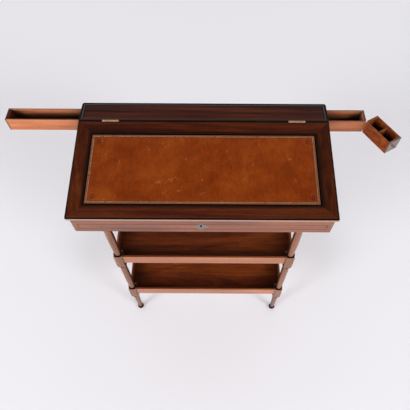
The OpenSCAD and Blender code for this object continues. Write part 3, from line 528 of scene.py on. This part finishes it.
# Polished bone: greyish white with faint yellow growth lines, their length and width in mm
polishedBone = {
    "tones": ("#655c5b", "#564c48"), "lines": (20, 1.6), "detail": {"Detail": 3.0},
    "roughFrom": (0.3, 0.7), "roughness": (0.3, 0.42), "relief": 0.1, "reliefDepth": 0.1,
    "finish": {"IOR": 1.54, "Subsurface Weight": 0.08, "Subsurface Scale": 2.0 * mm,
               "Coat Weight": 0.3, "Coat Roughness": 0.15},
}
# Bright iron of the bolt, drawn along its length, so it shows fine scratches that way
boltIron = {
    "tones": ("#8f8d8a", "#5c5854"), "lines": (9, 0.4), "detail": {"Detail": 2.0},
    "roughFrom": (0.0, 1.0), "roughness": (0.25, 0.5), "finish": {"Metallic": 1.0},
}


def makeLined(name, values):
    material, tree = startMaterial(name)
    place = addNode(tree, "ShaderNodeTexCoord")
    lines = grainNoise(tree, place, "X", values["lines"], values["detail"])
    one, other = values["tones"]
    colour = addNode(tree, "ShaderNodeMix", {
        "Factor": lines, "A": linear(one), "B": linear(other)}, data_type="RGBA")
    low, high = values["roughFrom"]
    smoothest, roughest = values["roughness"]
    rough = addNode(tree, "ShaderNodeMapRange", {
        "Value": lines, "From Min": low, "From Max": high, "To Min": smoothest, "To Max": roughest})
    sockets = {"Base Color": colour.outputs["Result"], "Roughness": rough.outputs["Result"]}
    if "relief" in values:
        bump = addNode(tree, "ShaderNodeBump", {
            "Height": lines, "Strength": values["relief"], "Distance": values["reliefDepth"] * mm})
        sockets["Normal"] = bump.outputs["Normal"]
    closeMaterial(tree, sockets | values["finish"])
    return material


brassMaterial = makePatched("oldBrass", oldBrass)
lockShadeMaterial = makePatched("lockShadeBrass", lockShadeBrass)
boneMaterial = makeLined("polishedBone", polishedBone)
ironMaterial = makeLined("boltIron", boltIron)
print("woods, metals and bone made")


# How a board's edges are found and rounded: lengths in mm, angles in degrees
softening = {"weld": 0.003, "flat": 0.3, "corner": 35, "sharp": 40, "segments": 2, "profile": 0.5}


# A merged copy of a node with its outer edges rounded, which then stands for the node
def softened(name, material, roundness):
    work = bmesh.new()
    work.from_mesh(nodes[name].data)
    bmesh.ops.remove_doubles(work, verts=work.verts, dist=softening["weld"] * mm)
    flat, corner = math.radians(softening["flat"]), math.radians(softening["corner"])
    bmesh.ops.dissolve_limit(work, angle_limit=flat, verts=work.verts, edges=work.edges)
    wear = work.faces.layers.float.new("edgeWear")
    outer = [e for e in work.edges
             if e.is_manifold and e.is_convex and e.calc_face_angle(0) > corner]
    made = bmesh.ops.bevel(work, geom=outer, offset=roundness * mm, offset_type="OFFSET",
                           segments=softening["segments"], profile=softening["profile"],
                           affect="EDGES", clamp_overlap=True)
    for face in made["faces"]:
        face[wear] = 1.0
    for face in work.faces:
        face.smooth = True
    mesh = bpy.data.meshes.new(name + "_soft")
    work.to_mesh(mesh)
    work.free()
    mesh.set_sharp_from_angle(angle=math.radians(softening["sharp"]))
    piece = addObject(name + "_soft", mesh)
    mesh.materials.append(material)
    weighted = piece.modifiers.new("flatFaces", "WEIGHTED_NORMAL")
    weighted.keep_sharp = True
    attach(piece, bodyOf[name])
    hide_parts(name)
    return piece


def finishNode(name, material):
    mesh = nodes[name].data
    mesh.materials.clear()
    mesh.materials.append(material)
    mesh.shade_smooth()
    mesh.set_sharp_from_angle(angle=math.radians(softening["corner"]))


# The wood that each piece is cut from, the way its grain runs, and how round its edges are in mm
woodPieces = {
    "ledge": ("ledgePolish", "X", 0.4),
    "lid_front_rail": ("lidFrontPolish", "X", 0.15),
    "lid_back_rail": ("backRailPolish", "X", 0.15),
    "lid_left_stile": ("stilePolish", "Y", 0.15),
    "lid_right_stile": ("rightStilePolish", "Y", 0.15),
    "case_front": ("fadedPolish", "X", 0.6),
    "case_back": ("fadedPolish", "X", 0.6),
    "case_left_side": ("fadedPolish", "Y", 0.3),
    "case_right_side": ("fadedPolish", "Y", 0.3),
    "upper_shelf_front_rail": ("railPolish", "X", 0.6),
    "upper_shelf_back_rail": ("railPolish", "X", 0.6),
    "upper_shelf_side_rails": ("railPolish", "Y", 0.6),
    "lower_shelf_front_rail": ("railPolish", "X", 0.6),
    "lower_shelf_back_rail": ("railPolish", "X", 0.6),
    "lower_shelf_side_rails": ("railPolish", "Y", 0.6),
    # The upper shelf board's look carries painted shade
    "upper_shelf_board": ("upperShelfShadedPolish", "X", 0.2),
    "lower_shelf_board": ("shelfPolish", "X", 0.2),
    "case_bottom": ("planedWood", "X", 0.2),
    "glue_blocks": ("planedWood", "Z", 0.6),
    "drawer_runner": ("planedWood", "X", 0.2),
    "drawer_partition": ("planedWood", "X", 0.2),
    "drawer_stop": ("planedWood", "Y", 0.4),
    "lid_panel": ("planedWood", "X", 0.2),
    "left_drawer_front": ("darkPolish", "Z", 0.3),
    "left_drawer_sides": ("cedar", "X", 0.3),
    "left_drawer_end": ("cedar", "Y", 0.3),
    "left_drawer_bottom": ("nearBlackCedar", "X", 0.1),
    "right_tray_outer_end": ("trayCedar", "Y", 0.3),
    "right_tray_sides": ("trayCedar", "X", 0.3),
    "right_tray_inner_end": ("trayCedar", "Y", 0.3),
    "right_tray_bottom": ("nearBlackCedar", "X", 0.1),
    # The ink box's front carries a painted reflection
    "ink_box_front": ("greySheenPolish", "Z", 0.3),
    "ink_box_sides": ("inkMahogany", "X", 0.3),
    "ink_box_end": ("inkMahogany", "Z", 0.3),
    "ink_box_bottom": ("nearBlackCedar", "X", 0.1),
    "ink_box_divider": ("inkMahogany", "Z", 0.2),
}
softPieces = {name: softened(name, wood(kind, axis), roundness)
              for name, (kind, axis, roundness) in woodPieces.items()}
print("boards softened:", len(woodPieces))

# The legs, with a black ring under and over each block. Lengths in mm.
legs = {"roundness": 0.5, "ringHeight": 3.6, "ringFrom": 9.1, "slack": 0.1, "blockHeight": 79.0,
        "blockFeet": (145.0, 425.0)}


def makeLeg(name, values):
    leg = softened(name, wood("legPolish", "Z"), values["roundness"])
    mesh = leg.data
    mesh.materials.append(wood("ebonised", "Z"))
    low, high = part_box(name)
    middle = (low + high) / 2
    ringHeight, slack = values["ringHeight"], values["slack"]
    starts = [foot - ringHeight for foot in values["blockFeet"]]
    starts += [foot + values["blockHeight"] for foot in values["blockFeet"]]
    for face in mesh.polygons:
        corners = [mesh.vertices[i].co for i in face.vertices]
        radius = min(math.hypot(c.x - middle.x, c.y - middle.y) for c in corners) / mm
        bottom = min(c.z for c in corners) / mm
        top = max(c.z for c in corners) / mm
        onRing = any(start - slack < bottom and top < start + ringHeight + slack
                     for start in starts)
        if onRing and radius > values["ringFrom"]:
            face.material_index = 1


for name in ("front_left_leg", "front_right_leg", "back_left_leg", "back_right_leg"):
    makeLeg(name, legs)
print("legs made")

# The keyhole's walls take the near-black lock colour: painted shade inside the hole
keyholeShade = {"middle": (-4.0, 729.5), "halfWidth": 3.6, "up": 3.6, "down": 9.6,  # mm
                "facing": 0.5}  # a wall turns less than this to the front


def paintKeyholeShade(mesh, values):
    mesh.materials.append(lockShadeMaterial)
    for face in mesh.polygons:
        x = face.center.x / mm - values["middle"][0]
        z = face.center.z / mm - values["middle"][1]
        inside = abs(x) < values["halfWidth"] and -values["down"] < z < values["up"]
        if inside and abs(face.normal.y) < values["facing"]:
            face.material_index = len(mesh.materials) - 1


# Trim and metal keep the shape of their nodes
for name in ("feet", "ledge_bead", "lid_bead", "leather_line"):
    finishNode(name, wood("ebonised", "X"))
finishNode("front_inlay", wood("stringing", "X"))
for name in ("escutcheon", "left_drawer_knob", "ink_box_knob"):
    finishNode(name, boneMaterial)
# The keyhole's walls get painted shade
paintKeyholeShade(nodes["escutcheon"].data, keyholeShade)
paintKeyholeShade(softPieces["case_front"].data, keyholeShade)
for name in ("case_screws", "hinge_case_leaves", "hinge_pins", "hinge_lid_leaves", "link_plate",
             "lid_screws", "tray_hinge_leaf", "ink_hinge_pin", "ink_box_hinge_leaf"):
    finishNode(name, brassMaterial)
# The lock case is painted near black as shade seen through the keyhole
finishNode("lock_case", lockShadeMaterial)
finishNode("lock_bolt", ironMaterial)
print("trim and metal finished")

# The writing leather: a sheet on the slope of the lid with a border of pressed lines
lidShape = {"drop": 49.0, "run": 288.0, "frame": 42.0, "frontRail": 39.0, "blackLine": 3.8,
            "leather": 1.2}
lidAngle = math.atan(lidShape["drop"] / lidShape["run"])
lidLength = lidShape["run"] / math.cos(lidAngle)
ledgeLow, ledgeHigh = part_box("ledge")
lidPlace = Matrix.Translation((0, ledgeLow.y, ledgeHigh.z)) @ Matrix.Rotation(lidAngle, 4, "X")
leatherSheet = {  # mm
    "grid": 9.0,  # between the lines of the field's mesh
    "edgeLines": (0.0, 0.35, 0.8, 1.3), "innerLines": (11.0, 14.0),
    "edgeWidth": 1.3, "edgeDrop": 0.5,
    "pressed": ((1.9, 0.28), (7.4, 0.28), (9.2, 0.22)),  # distance from the edge, half width
    "pressSpread": 1.6, "pressDepth": 0.22,
    "rollFrom": 2.5, "rollTo": 6.8, "rollStep": 0.1, "rollDepth": 0.12,
    "waves": 0.08, "wavesFrom": 14.0, "waveAcross": 47.0, "waveAlong": 38.0, "waveTurn": 31.0,
    "waveSway": 1.3, "waveStart": 0.7,  # radians
    "hide": "#742e05", "hideDark": "#692804", "hideWarm": "#803806", "hideFrom": (0.36, 0.66),
    "scuff": "#a9683a",
    # Size of each noise, with its other settings
    "noises": {"mottle": (70.0, {"Detail": 7.0, "Roughness": 0.66}),
               "speck": (5.0, {"Detail": 2.0, "Roughness": 0.5}),
               "curl": (34.0, {"Detail": 2.0, "Distortion": 1.2}),
               "broken": (24.0, {"Detail": 2.0})},
    "streak": ((7.0, 22.0), {"Detail": 5.0, "Roughness": 0.75}),  # from front to back
    # Noise levels and what they are turned to: tone, pale specks, kept scratches, roughness
    "spreads": {"streak": (0.3, 0.7, 0.78, 1.2), "speck": (0.7, 0.78, 0.0, 0.45),
                "broken": (0.56, 0.66, 0.0, 1.0), "mottle": (0.3, 0.7, 0.4, 0.55)},
    "scratchAt": 0.56, "scratchHalf": 0.012, "scratchShare": 0.8,
    "pebble": 1.5, "relief": 0.35, "reliefDepth": 0.25, "ior": 1.48, "gloss": 0.12,
    "borderReach": 20.0,
    "sharp": 50,  # degrees
    "border": ((0.0, "#8a6248", 0.9), (1.6, "#4a2411", 0.7), (2.4, "#6e3f28", 0.75),
               (6.9, "#53230c", 0.65), (7.9, "#742e0b", 0.0), (8.9, "#54230a", 0.5),
               (9.6, "#742e0b", 0.0)),
}


def borderSteps(values):
    steps = list(values["edgeLines"])
    for at, half in values["pressed"]:
        reach = values["pressSpread"] * half
        steps += [at - reach, at - half, at, at + half, at + reach]
    steps += [values["rollFrom"] + values["rollStep"], values["rollTo"] - values["rollStep"]]
    return sorted(steps + list(values["innerLines"]))


def leatherHeight(distance, x, y, values):
    height = -values["edgeDrop"] * max(0.0, 1 - distance / values["edgeWidth"]) ** 2
    for at, half in values["pressed"]:
        reach = values["pressSpread"] * half
        height -= values["pressDepth"] * max(0.0, 1 - abs(distance - at) / reach)
    if values["rollFrom"] < distance < values["rollTo"]:
        height -= values["rollDepth"]
    turn = values["waveSway"] * math.sin(y / values["waveTurn"])
    across = math.sin(x / values["waveAcross"] + turn)
    ripple = across * math.sin(y / values["waveAlong"] + values["waveStart"])
    return height - values["waves"] * (1 + ripple) / 2 * min(1.0, distance / values["wavesFrom"])


def makeLeatherSheet(values):
    low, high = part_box("writing_leather")
    halfWidth = (high.x - low.x) / 2 / mm
    back = -(lidShape["frame"] + lidShape["blackLine"])
    front = -(lidLength - lidShape["frontRail"] - lidShape["blackLine"])
    steps = borderSteps(values)

    def spread(start, end):
        inner = end - start - 2 * steps[-1]
        count = max(2, round(inner / values["grid"]))
        middle = [start + steps[-1] + inner * i / count for i in range(1, count)]
        return [start + s for s in steps] + middle + [end - s for s in reversed(steps)]

    xs = spread(-halfWidth, halfWidth)
    ys = spread(front, back)
    work = bmesh.new()
    edgeLayer = work.verts.layers.float.new("edgeDistance")
    rows = []
    for y in ys:
        row = []
        for x in xs:
            distance = min(halfWidth - abs(x), y - front, back - y)
            vertex = work.verts.new((x * mm, y * mm, leatherHeight(distance, x, y, values) * mm))
            vertex[edgeLayer] = distance * mm
            row.append(vertex)
        rows.append(row)
    for j in range(len(ys) - 1):
        for i in range(len(xs) - 1):
            work.faces.new((rows[j][i], rows[j][i + 1], rows[j + 1][i + 1], rows[j + 1][i]))
    border = [e for e in work.edges if e.is_boundary]
    skirt = bmesh.ops.extrude_edge_only(work, edges=border)
    lower = [v for v in skirt["geom"] if isinstance(v, bmesh.types.BMVert)]
    for vertex in lower:
        vertex.co.z = -lidShape["leather"] * mm
    bottom = [e for e in work.edges if e.is_boundary]
    bmesh.ops.contextual_create(work, geom=bottom)
    bmesh.ops.recalc_face_normals(work, faces=work.faces)
    work.transform(lidPlace)
    for face in work.faces:
        face.smooth = True
    mesh = bpy.data.meshes.new("leather_sheet")
    work.to_mesh(mesh)
    work.free()
    mesh.set_sharp_from_angle(angle=math.radians(values["sharp"]))
    sheet = addObject("leather_sheet", mesh)
    mesh.materials.append(makeHide("tannedHide", values))
    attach(sheet, "lid")
    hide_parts("writing_leather")


# Vegetable tanned hide: mottled, pebbled, scuffed pale, with a worn border
def makeHide(name, values):
    material, tree = startMaterial(name)
    place = addNode(tree, "ShaderNodeTexCoord")
    noise = {kind: addNode(tree, "ShaderNodeTexNoise", {
        "Vector": place.outputs["Object"], "Scale": 1 / (size * mm)} | settings).outputs["Fac"]
             for kind, (size, settings) in values["noises"].items()}
    noise["streak"] = grainNoise(tree, place, "X", *values["streak"])
    share = {}
    for kind, (low, high, least, most) in values["spreads"].items():
        share[kind] = addNode(tree, "ShaderNodeMapRange", {
            "Value": noise[kind], "From Min": low, "From Max": high,
            "To Min": least, "To Max": most}).outputs["Result"]
    tone = addNode(tree, "ShaderNodeValToRGB", {"Fac": noise["mottle"]})
    stops = tone.color_ramp.elements
    for end, level, shade in zip(stops, values["hideFrom"], ("hideDark", "hideWarm")):
        end.position, end.color = level, linear(values[shade])
    stops.new(0.5).color = linear(values["hide"])
    streaked = addNode(tree, "ShaderNodeVectorMath", {
        0: tone.outputs["Color"], "Scale": share["streak"]}, operation="SCALE")
    offLine = addNode(tree, "ShaderNodeMath", {0: noise["curl"], 1: values["scratchAt"]},
                      operation="SUBTRACT")
    fromLine = addNode(tree, "ShaderNodeMath", {0: offLine.outputs["Value"]}, operation="ABSOLUTE")
    scratch = addNode(tree, "ShaderNodeMapRange", {
        "Value": fromLine.outputs["Value"], "From Min": 0.0, "From Max": values["scratchHalf"],
        "To Min": values["scratchShare"], "To Max": 0.0})
    broken = addNode(tree, "ShaderNodeMath", {0: scratch.outputs["Result"], 1: share["broken"]},
                     operation="MULTIPLY")
    scuffs = addNode(tree, "ShaderNodeMath", {0: share["speck"], 1: broken.outputs["Value"]},
                     operation="MAXIMUM")
    scuffed = addNode(tree, "ShaderNodeMix", {
        "Factor": scuffs.outputs["Value"], "A": streaked.outputs["Vector"],
        "B": linear(values["scuff"])}, data_type="RGBA")
    edge = addNode(tree, "ShaderNodeAttribute", attribute_name="edgeDistance")
    bordered = bandTone(tree, scuffed.outputs["Result"], edge.outputs["Fac"], values["borderReach"],
                        values["border"])
    pebbles = addNode(tree, "ShaderNodeTexVoronoi", {
        "Vector": place.outputs["Object"], "Scale": 1 / (values["pebble"] * mm)})
    lowPebble = addNode(tree, "ShaderNodeMath", {0: pebbles.outputs["Distance"], 1: -1.0},
                        operation="MULTIPLY")
    bump = addNode(tree, "ShaderNodeBump", {
        "Height": lowPebble.outputs["Value"], "Strength": values["relief"],
        "Distance": values["reliefDepth"] * mm})
    closeMaterial(tree, {
        "Base Color": bordered, "Roughness": share["mottle"], "IOR": values["ior"],
        "Specular IOR Level": values["gloss"], "Normal": bump.outputs["Normal"]})
    return material


makeLeatherSheet(leatherSheet)
print("leather laid")


def startGroup(name, counts, sizes):
    group = bpy.data.node_groups.new(name, "GeometryNodeTree")
    for kind, labels in (("Int", counts), ("Float", sizes), ("Material", ("Material",))):
        for label in labels:
            group.interface.new_socket(name=label, in_out="INPUT", socket_type="NodeSocket" + kind)
    group.interface.new_socket(name="Geometry", in_out="OUTPUT", socket_type="NodeSocketGeometry")
    return group, addNode(group, "NodeGroupInput").outputs


def closeGroup(group, geometry, material):
    real = addNode(group, "GeometryNodeRealizeInstances", {"Geometry": geometry})
    smooth = addNode(group, "GeometryNodeSetShadeSmooth", {"Geometry": real.outputs["Geometry"]})
    painted = addNode(group, "GeometryNodeSetMaterial", {
        "Geometry": smooth.outputs["Geometry"], "Material": material})
    addNode(group, "NodeGroupOutput", {"Geometry": painted.outputs["Geometry"]})
    return group


# The group's shape becomes a plain mesh that rides on one body
def growPiece(name, group, values, place, body):
    carrier = addObject(name + "Carrier", bpy.data.meshes.new(name + "Carrier"))
    modifier = carrier.modifiers.new(name, "NODES")
    modifier.node_group = group
    for item in group.interface.items_tree:
        if item.in_out == "INPUT":
            modifier[item.identifier] = values[item.name]
    grown = carrier.evaluated_get(bpy.context.evaluated_depsgraph_get())
    mesh = bpy.data.meshes.new_from_object(grown)
    bpy.data.objects.remove(carrier)
    mesh.transform(place)
    piece = addObject(name, mesh)
    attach(piece, body)


# Worn gold leaf in the roll, and burnished hide in the corner sprays
goldTooling = dict(oldBrass, bright="#d0a878", dull="#8e5c34", patch=9.0, roughness=0.5)
burnishedHide = {"bright": "#3c1a0a", "dull": "#2a1206", "patch": 7.0, "roughness": 0.6,
                 "metallic": 0.0, "gloss": 0.08}

# The tooled roll: a row of small pads round the leather, some of them rubbed away
roll = {
    "Pitch": 4.2 * mm, "Pad Length": 2.7 * mm, "Pad Width": 2.0 * mm, "Pad Height": 0.13 * mm,
    "Kept": 0.94, "Seed": 7, "inset": 4.6, "sink": 0.075,
}
padFaces = {"Segments": 8, "Rings": 4}


def makeRollGroup():
    group, given = startGroup("toolingRoll", ("Seed",), (
        "Width", "Depth", "Pitch", "Pad Length", "Pad Width", "Pad Height", "Kept"))
    line = addNode(group, "GeometryNodeCurvePrimitiveQuadrilateral", {
        "Width": given["Width"], "Height": given["Depth"]})
    spots = addNode(group, "GeometryNodeCurveToPoints", {
        "Curve": line.outputs["Curve"], "Length": given["Pitch"]}, mode="LENGTH")
    pad = addNode(group, "GeometryNodeMeshUVSphere", padFaces | {"Radius": 0.5})
    turn = addNode(group, "FunctionNodeAlignRotationToVector", {
        "Vector": spots.outputs["Tangent"]}, axis="X")
    size = addNode(group, "ShaderNodeCombineXYZ", {
        "X": given["Pad Length"], "Y": given["Pad Width"], "Z": given["Pad Height"]})
    kept = addNode(group, "FunctionNodeRandomValue", {
        "Probability": given["Kept"], "Seed": given["Seed"]}, data_type="BOOLEAN")
    pads = addNode(group, "GeometryNodeInstanceOnPoints", {
        "Points": spots.outputs["Points"], "Selection": kept.outputs[3],  # its yes or no
        "Instance": pad.outputs["Mesh"], "Rotation": turn.outputs["Rotation"],
        "Scale": size.outputs["Vector"]})
    return closeGroup(group, pads.outputs["Instances"], given["Material"])


# A spray of leaves in each corner of the leather, round a small seed
spray = {
    "Leaves": 8, "Reach": 5.2 * mm, "Leaf Length": 6.4 * mm, "Leaf Width": 2.1 * mm,
    "Leaf Height": 0.12 * mm, "inset": 19.5, "sink": 0.03,
}
leafFaces = {"Segments": 10, "Rings": 5}


def makeSprayGroup():
    group, given = startGroup("cornerSprays", ("Leaves",), (
        "Width", "Depth", "Reach", "Leaf Length", "Leaf Width", "Leaf Height"))
    wheel = addNode(group, "GeometryNodeMeshCircle", {
        "Vertices": given["Leaves"], "Radius": given["Reach"]})
    outward = addNode(group, "GeometryNodeInputPosition")
    turn = addNode(group, "FunctionNodeAlignRotationToVector", {
        "Vector": outward.outputs["Position"]}, axis="X")
    size = addNode(group, "ShaderNodeCombineXYZ", {
        "X": given["Leaf Length"], "Y": given["Leaf Width"], "Z": given["Leaf Height"]})
    leaf = addNode(group, "GeometryNodeMeshUVSphere", leafFaces | {"Radius": 0.5})
    leaves = addNode(group, "GeometryNodeInstanceOnPoints", {
        "Points": wheel.outputs["Mesh"], "Instance": leaf.outputs["Mesh"],
        "Rotation": turn.outputs["Rotation"], "Scale": size.outputs["Vector"]})
    corners = addNode(group, "GeometryNodeCurvePrimitiveQuadrilateral", {
        "Width": given["Width"], "Height": given["Depth"]})
    sprays = addNode(group, "GeometryNodeInstanceOnPoints", {
        "Points": corners.outputs["Curve"], "Instance": leaves.outputs["Instances"]})
    return closeGroup(group, sprays.outputs["Instances"], given["Material"])


leatherLow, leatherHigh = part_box("writing_leather")
leatherWidth = (leatherHigh.x - leatherLow.x) / mm
leatherDepth = lidLength - lidShape["frontRail"] - lidShape["frame"] - 2 * lidShape["blackLine"]
leatherMiddle = -(lidShape["frame"] + lidShape["blackLine"] + leatherDepth / 2)
for name, group, values, material in (
        ("tooledRoll", makeRollGroup(), roll, makePatched("goldTooling", goldTooling)),
        ("tooledSprays", makeSprayGroup(), spray, makePatched("burnishedHide", burnishedHide))):
    sizes = {"Width": (leatherWidth - 2 * values["inset"]) * mm,
             "Depth": (leatherDepth - 2 * values["inset"]) * mm, "Material": material}
    growPiece(name, group, values | sizes,
              lidPlace @ Matrix.Translation((0, leatherMiddle * mm, -values["sink"] * mm)),
              "lid")
print("leather tooled")

# Three slotted screws in each leaf of the ink box's hinge
inkHinge = {"swing": 58.8, "screwOff": 8.0, "leafOff": 0.3, "pin": (461.5, 125.0),
            "middleZ": 795.75}
leafScrews = {
    "Count": 3, "Pitch": 10.0 * mm, "Head Radius": 1.7 * mm, "Head Depth": 0.8 * mm,
    "Slot Width": 0.45 * mm, "Slot Depth": 0.5 * mm, "Seed": 3, "out": 0.04,
}
headSides = 24


def makeScrewGroup():
    group, given = startGroup("leafScrews", ("Count", "Seed"), (
        "Pitch", "Head Radius", "Head Depth", "Slot Width", "Slot Depth"))
    step = addNode(group, "ShaderNodeCombineXYZ", {"Z": given["Pitch"]})
    line = addNode(group, "GeometryNodeMeshLine", {
        "Count": given["Count"], "Offset": step.outputs["Vector"]})
    head = addNode(group, "GeometryNodeMeshCylinder", {
        "Vertices": headSides, "Radius": given["Head Radius"], "Depth": given["Head Depth"]})
    slotSize = addNode(group, "ShaderNodeCombineXYZ", {
        "X": 1.0, "Y": given["Slot Width"], "Z": given["Slot Depth"]})
    bar = addNode(group, "GeometryNodeMeshCube", {"Size": slotSize.outputs["Vector"]})
    up = addNode(group, "ShaderNodeMath", {0: given["Head Depth"], 1: 0.5}, operation="MULTIPLY")
    lift = addNode(group, "ShaderNodeCombineXYZ", {"Z": up.outputs["Value"]})
    raised = addNode(group, "GeometryNodeTransform", {
        "Geometry": bar.outputs["Mesh"], "Translation": lift.outputs["Vector"]})
    slotted = addNode(group, "GeometryNodeMeshBoolean", {
        "Mesh 1": head.outputs["Mesh"], "Mesh 2": raised.outputs["Geometry"]},
        operation="DIFFERENCE")
    lying = addNode(group, "ShaderNodeCombineXYZ", {"X": 0.0, "Y": math.pi / 2, "Z": 0.0})
    turn = addNode(group, "FunctionNodeRandomValue", {"Max": math.pi, "Seed": given["Seed"]})
    spin = addNode(group, "ShaderNodeCombineXYZ", {"Z": turn.outputs[1]})  # its single number
    heads = addNode(group, "GeometryNodeInstanceOnPoints", {
        "Points": line.outputs["Mesh"], "Instance": slotted.outputs["Mesh"],
        "Rotation": lying.outputs["Vector"]})
    turned = addNode(group, "GeometryNodeRotateInstances", {
        "Instances": heads.outputs["Instances"], "Rotation": spin.outputs["Vector"]})
    return closeGroup(group, turned.outputs["Instances"], given["Material"])


screwGroup = makeScrewGroup()
firstScrew = inkHinge["middleZ"] - leafScrews["Pitch"] / mm
inset = inkHinge["leafOff"] + leafScrews["Head Depth"] / mm / 2 - leafScrews["out"]
hingePlace = Matrix.Translation(Vector((*inkHinge["pin"], firstScrew)) * mm)
swung = hingePlace @ Matrix.Rotation(math.radians(-inkHinge["swing"]), 4, "Z")
for name, leafPlace, side, turn, body, leaf in (
        ("trayLeafScrews", hingePlace, -1, 0.0, "right_tray", "tray_hinge_leaf"),
        ("boxLeafScrews", swung, 1, math.pi, "ink_box", "ink_box_hinge_leaf")):
    spot = Matrix.Translation(Vector((side * inset, inkHinge["screwOff"], 0)) * mm)
    growPiece(name, screwGroup, leafScrews | {"Material": brassMaterial},
              leafPlace @ spot @ Matrix.Rotation(turn, 4, "Z"), body)
print("hinge screws set")

bpy.context.view_layer.update()
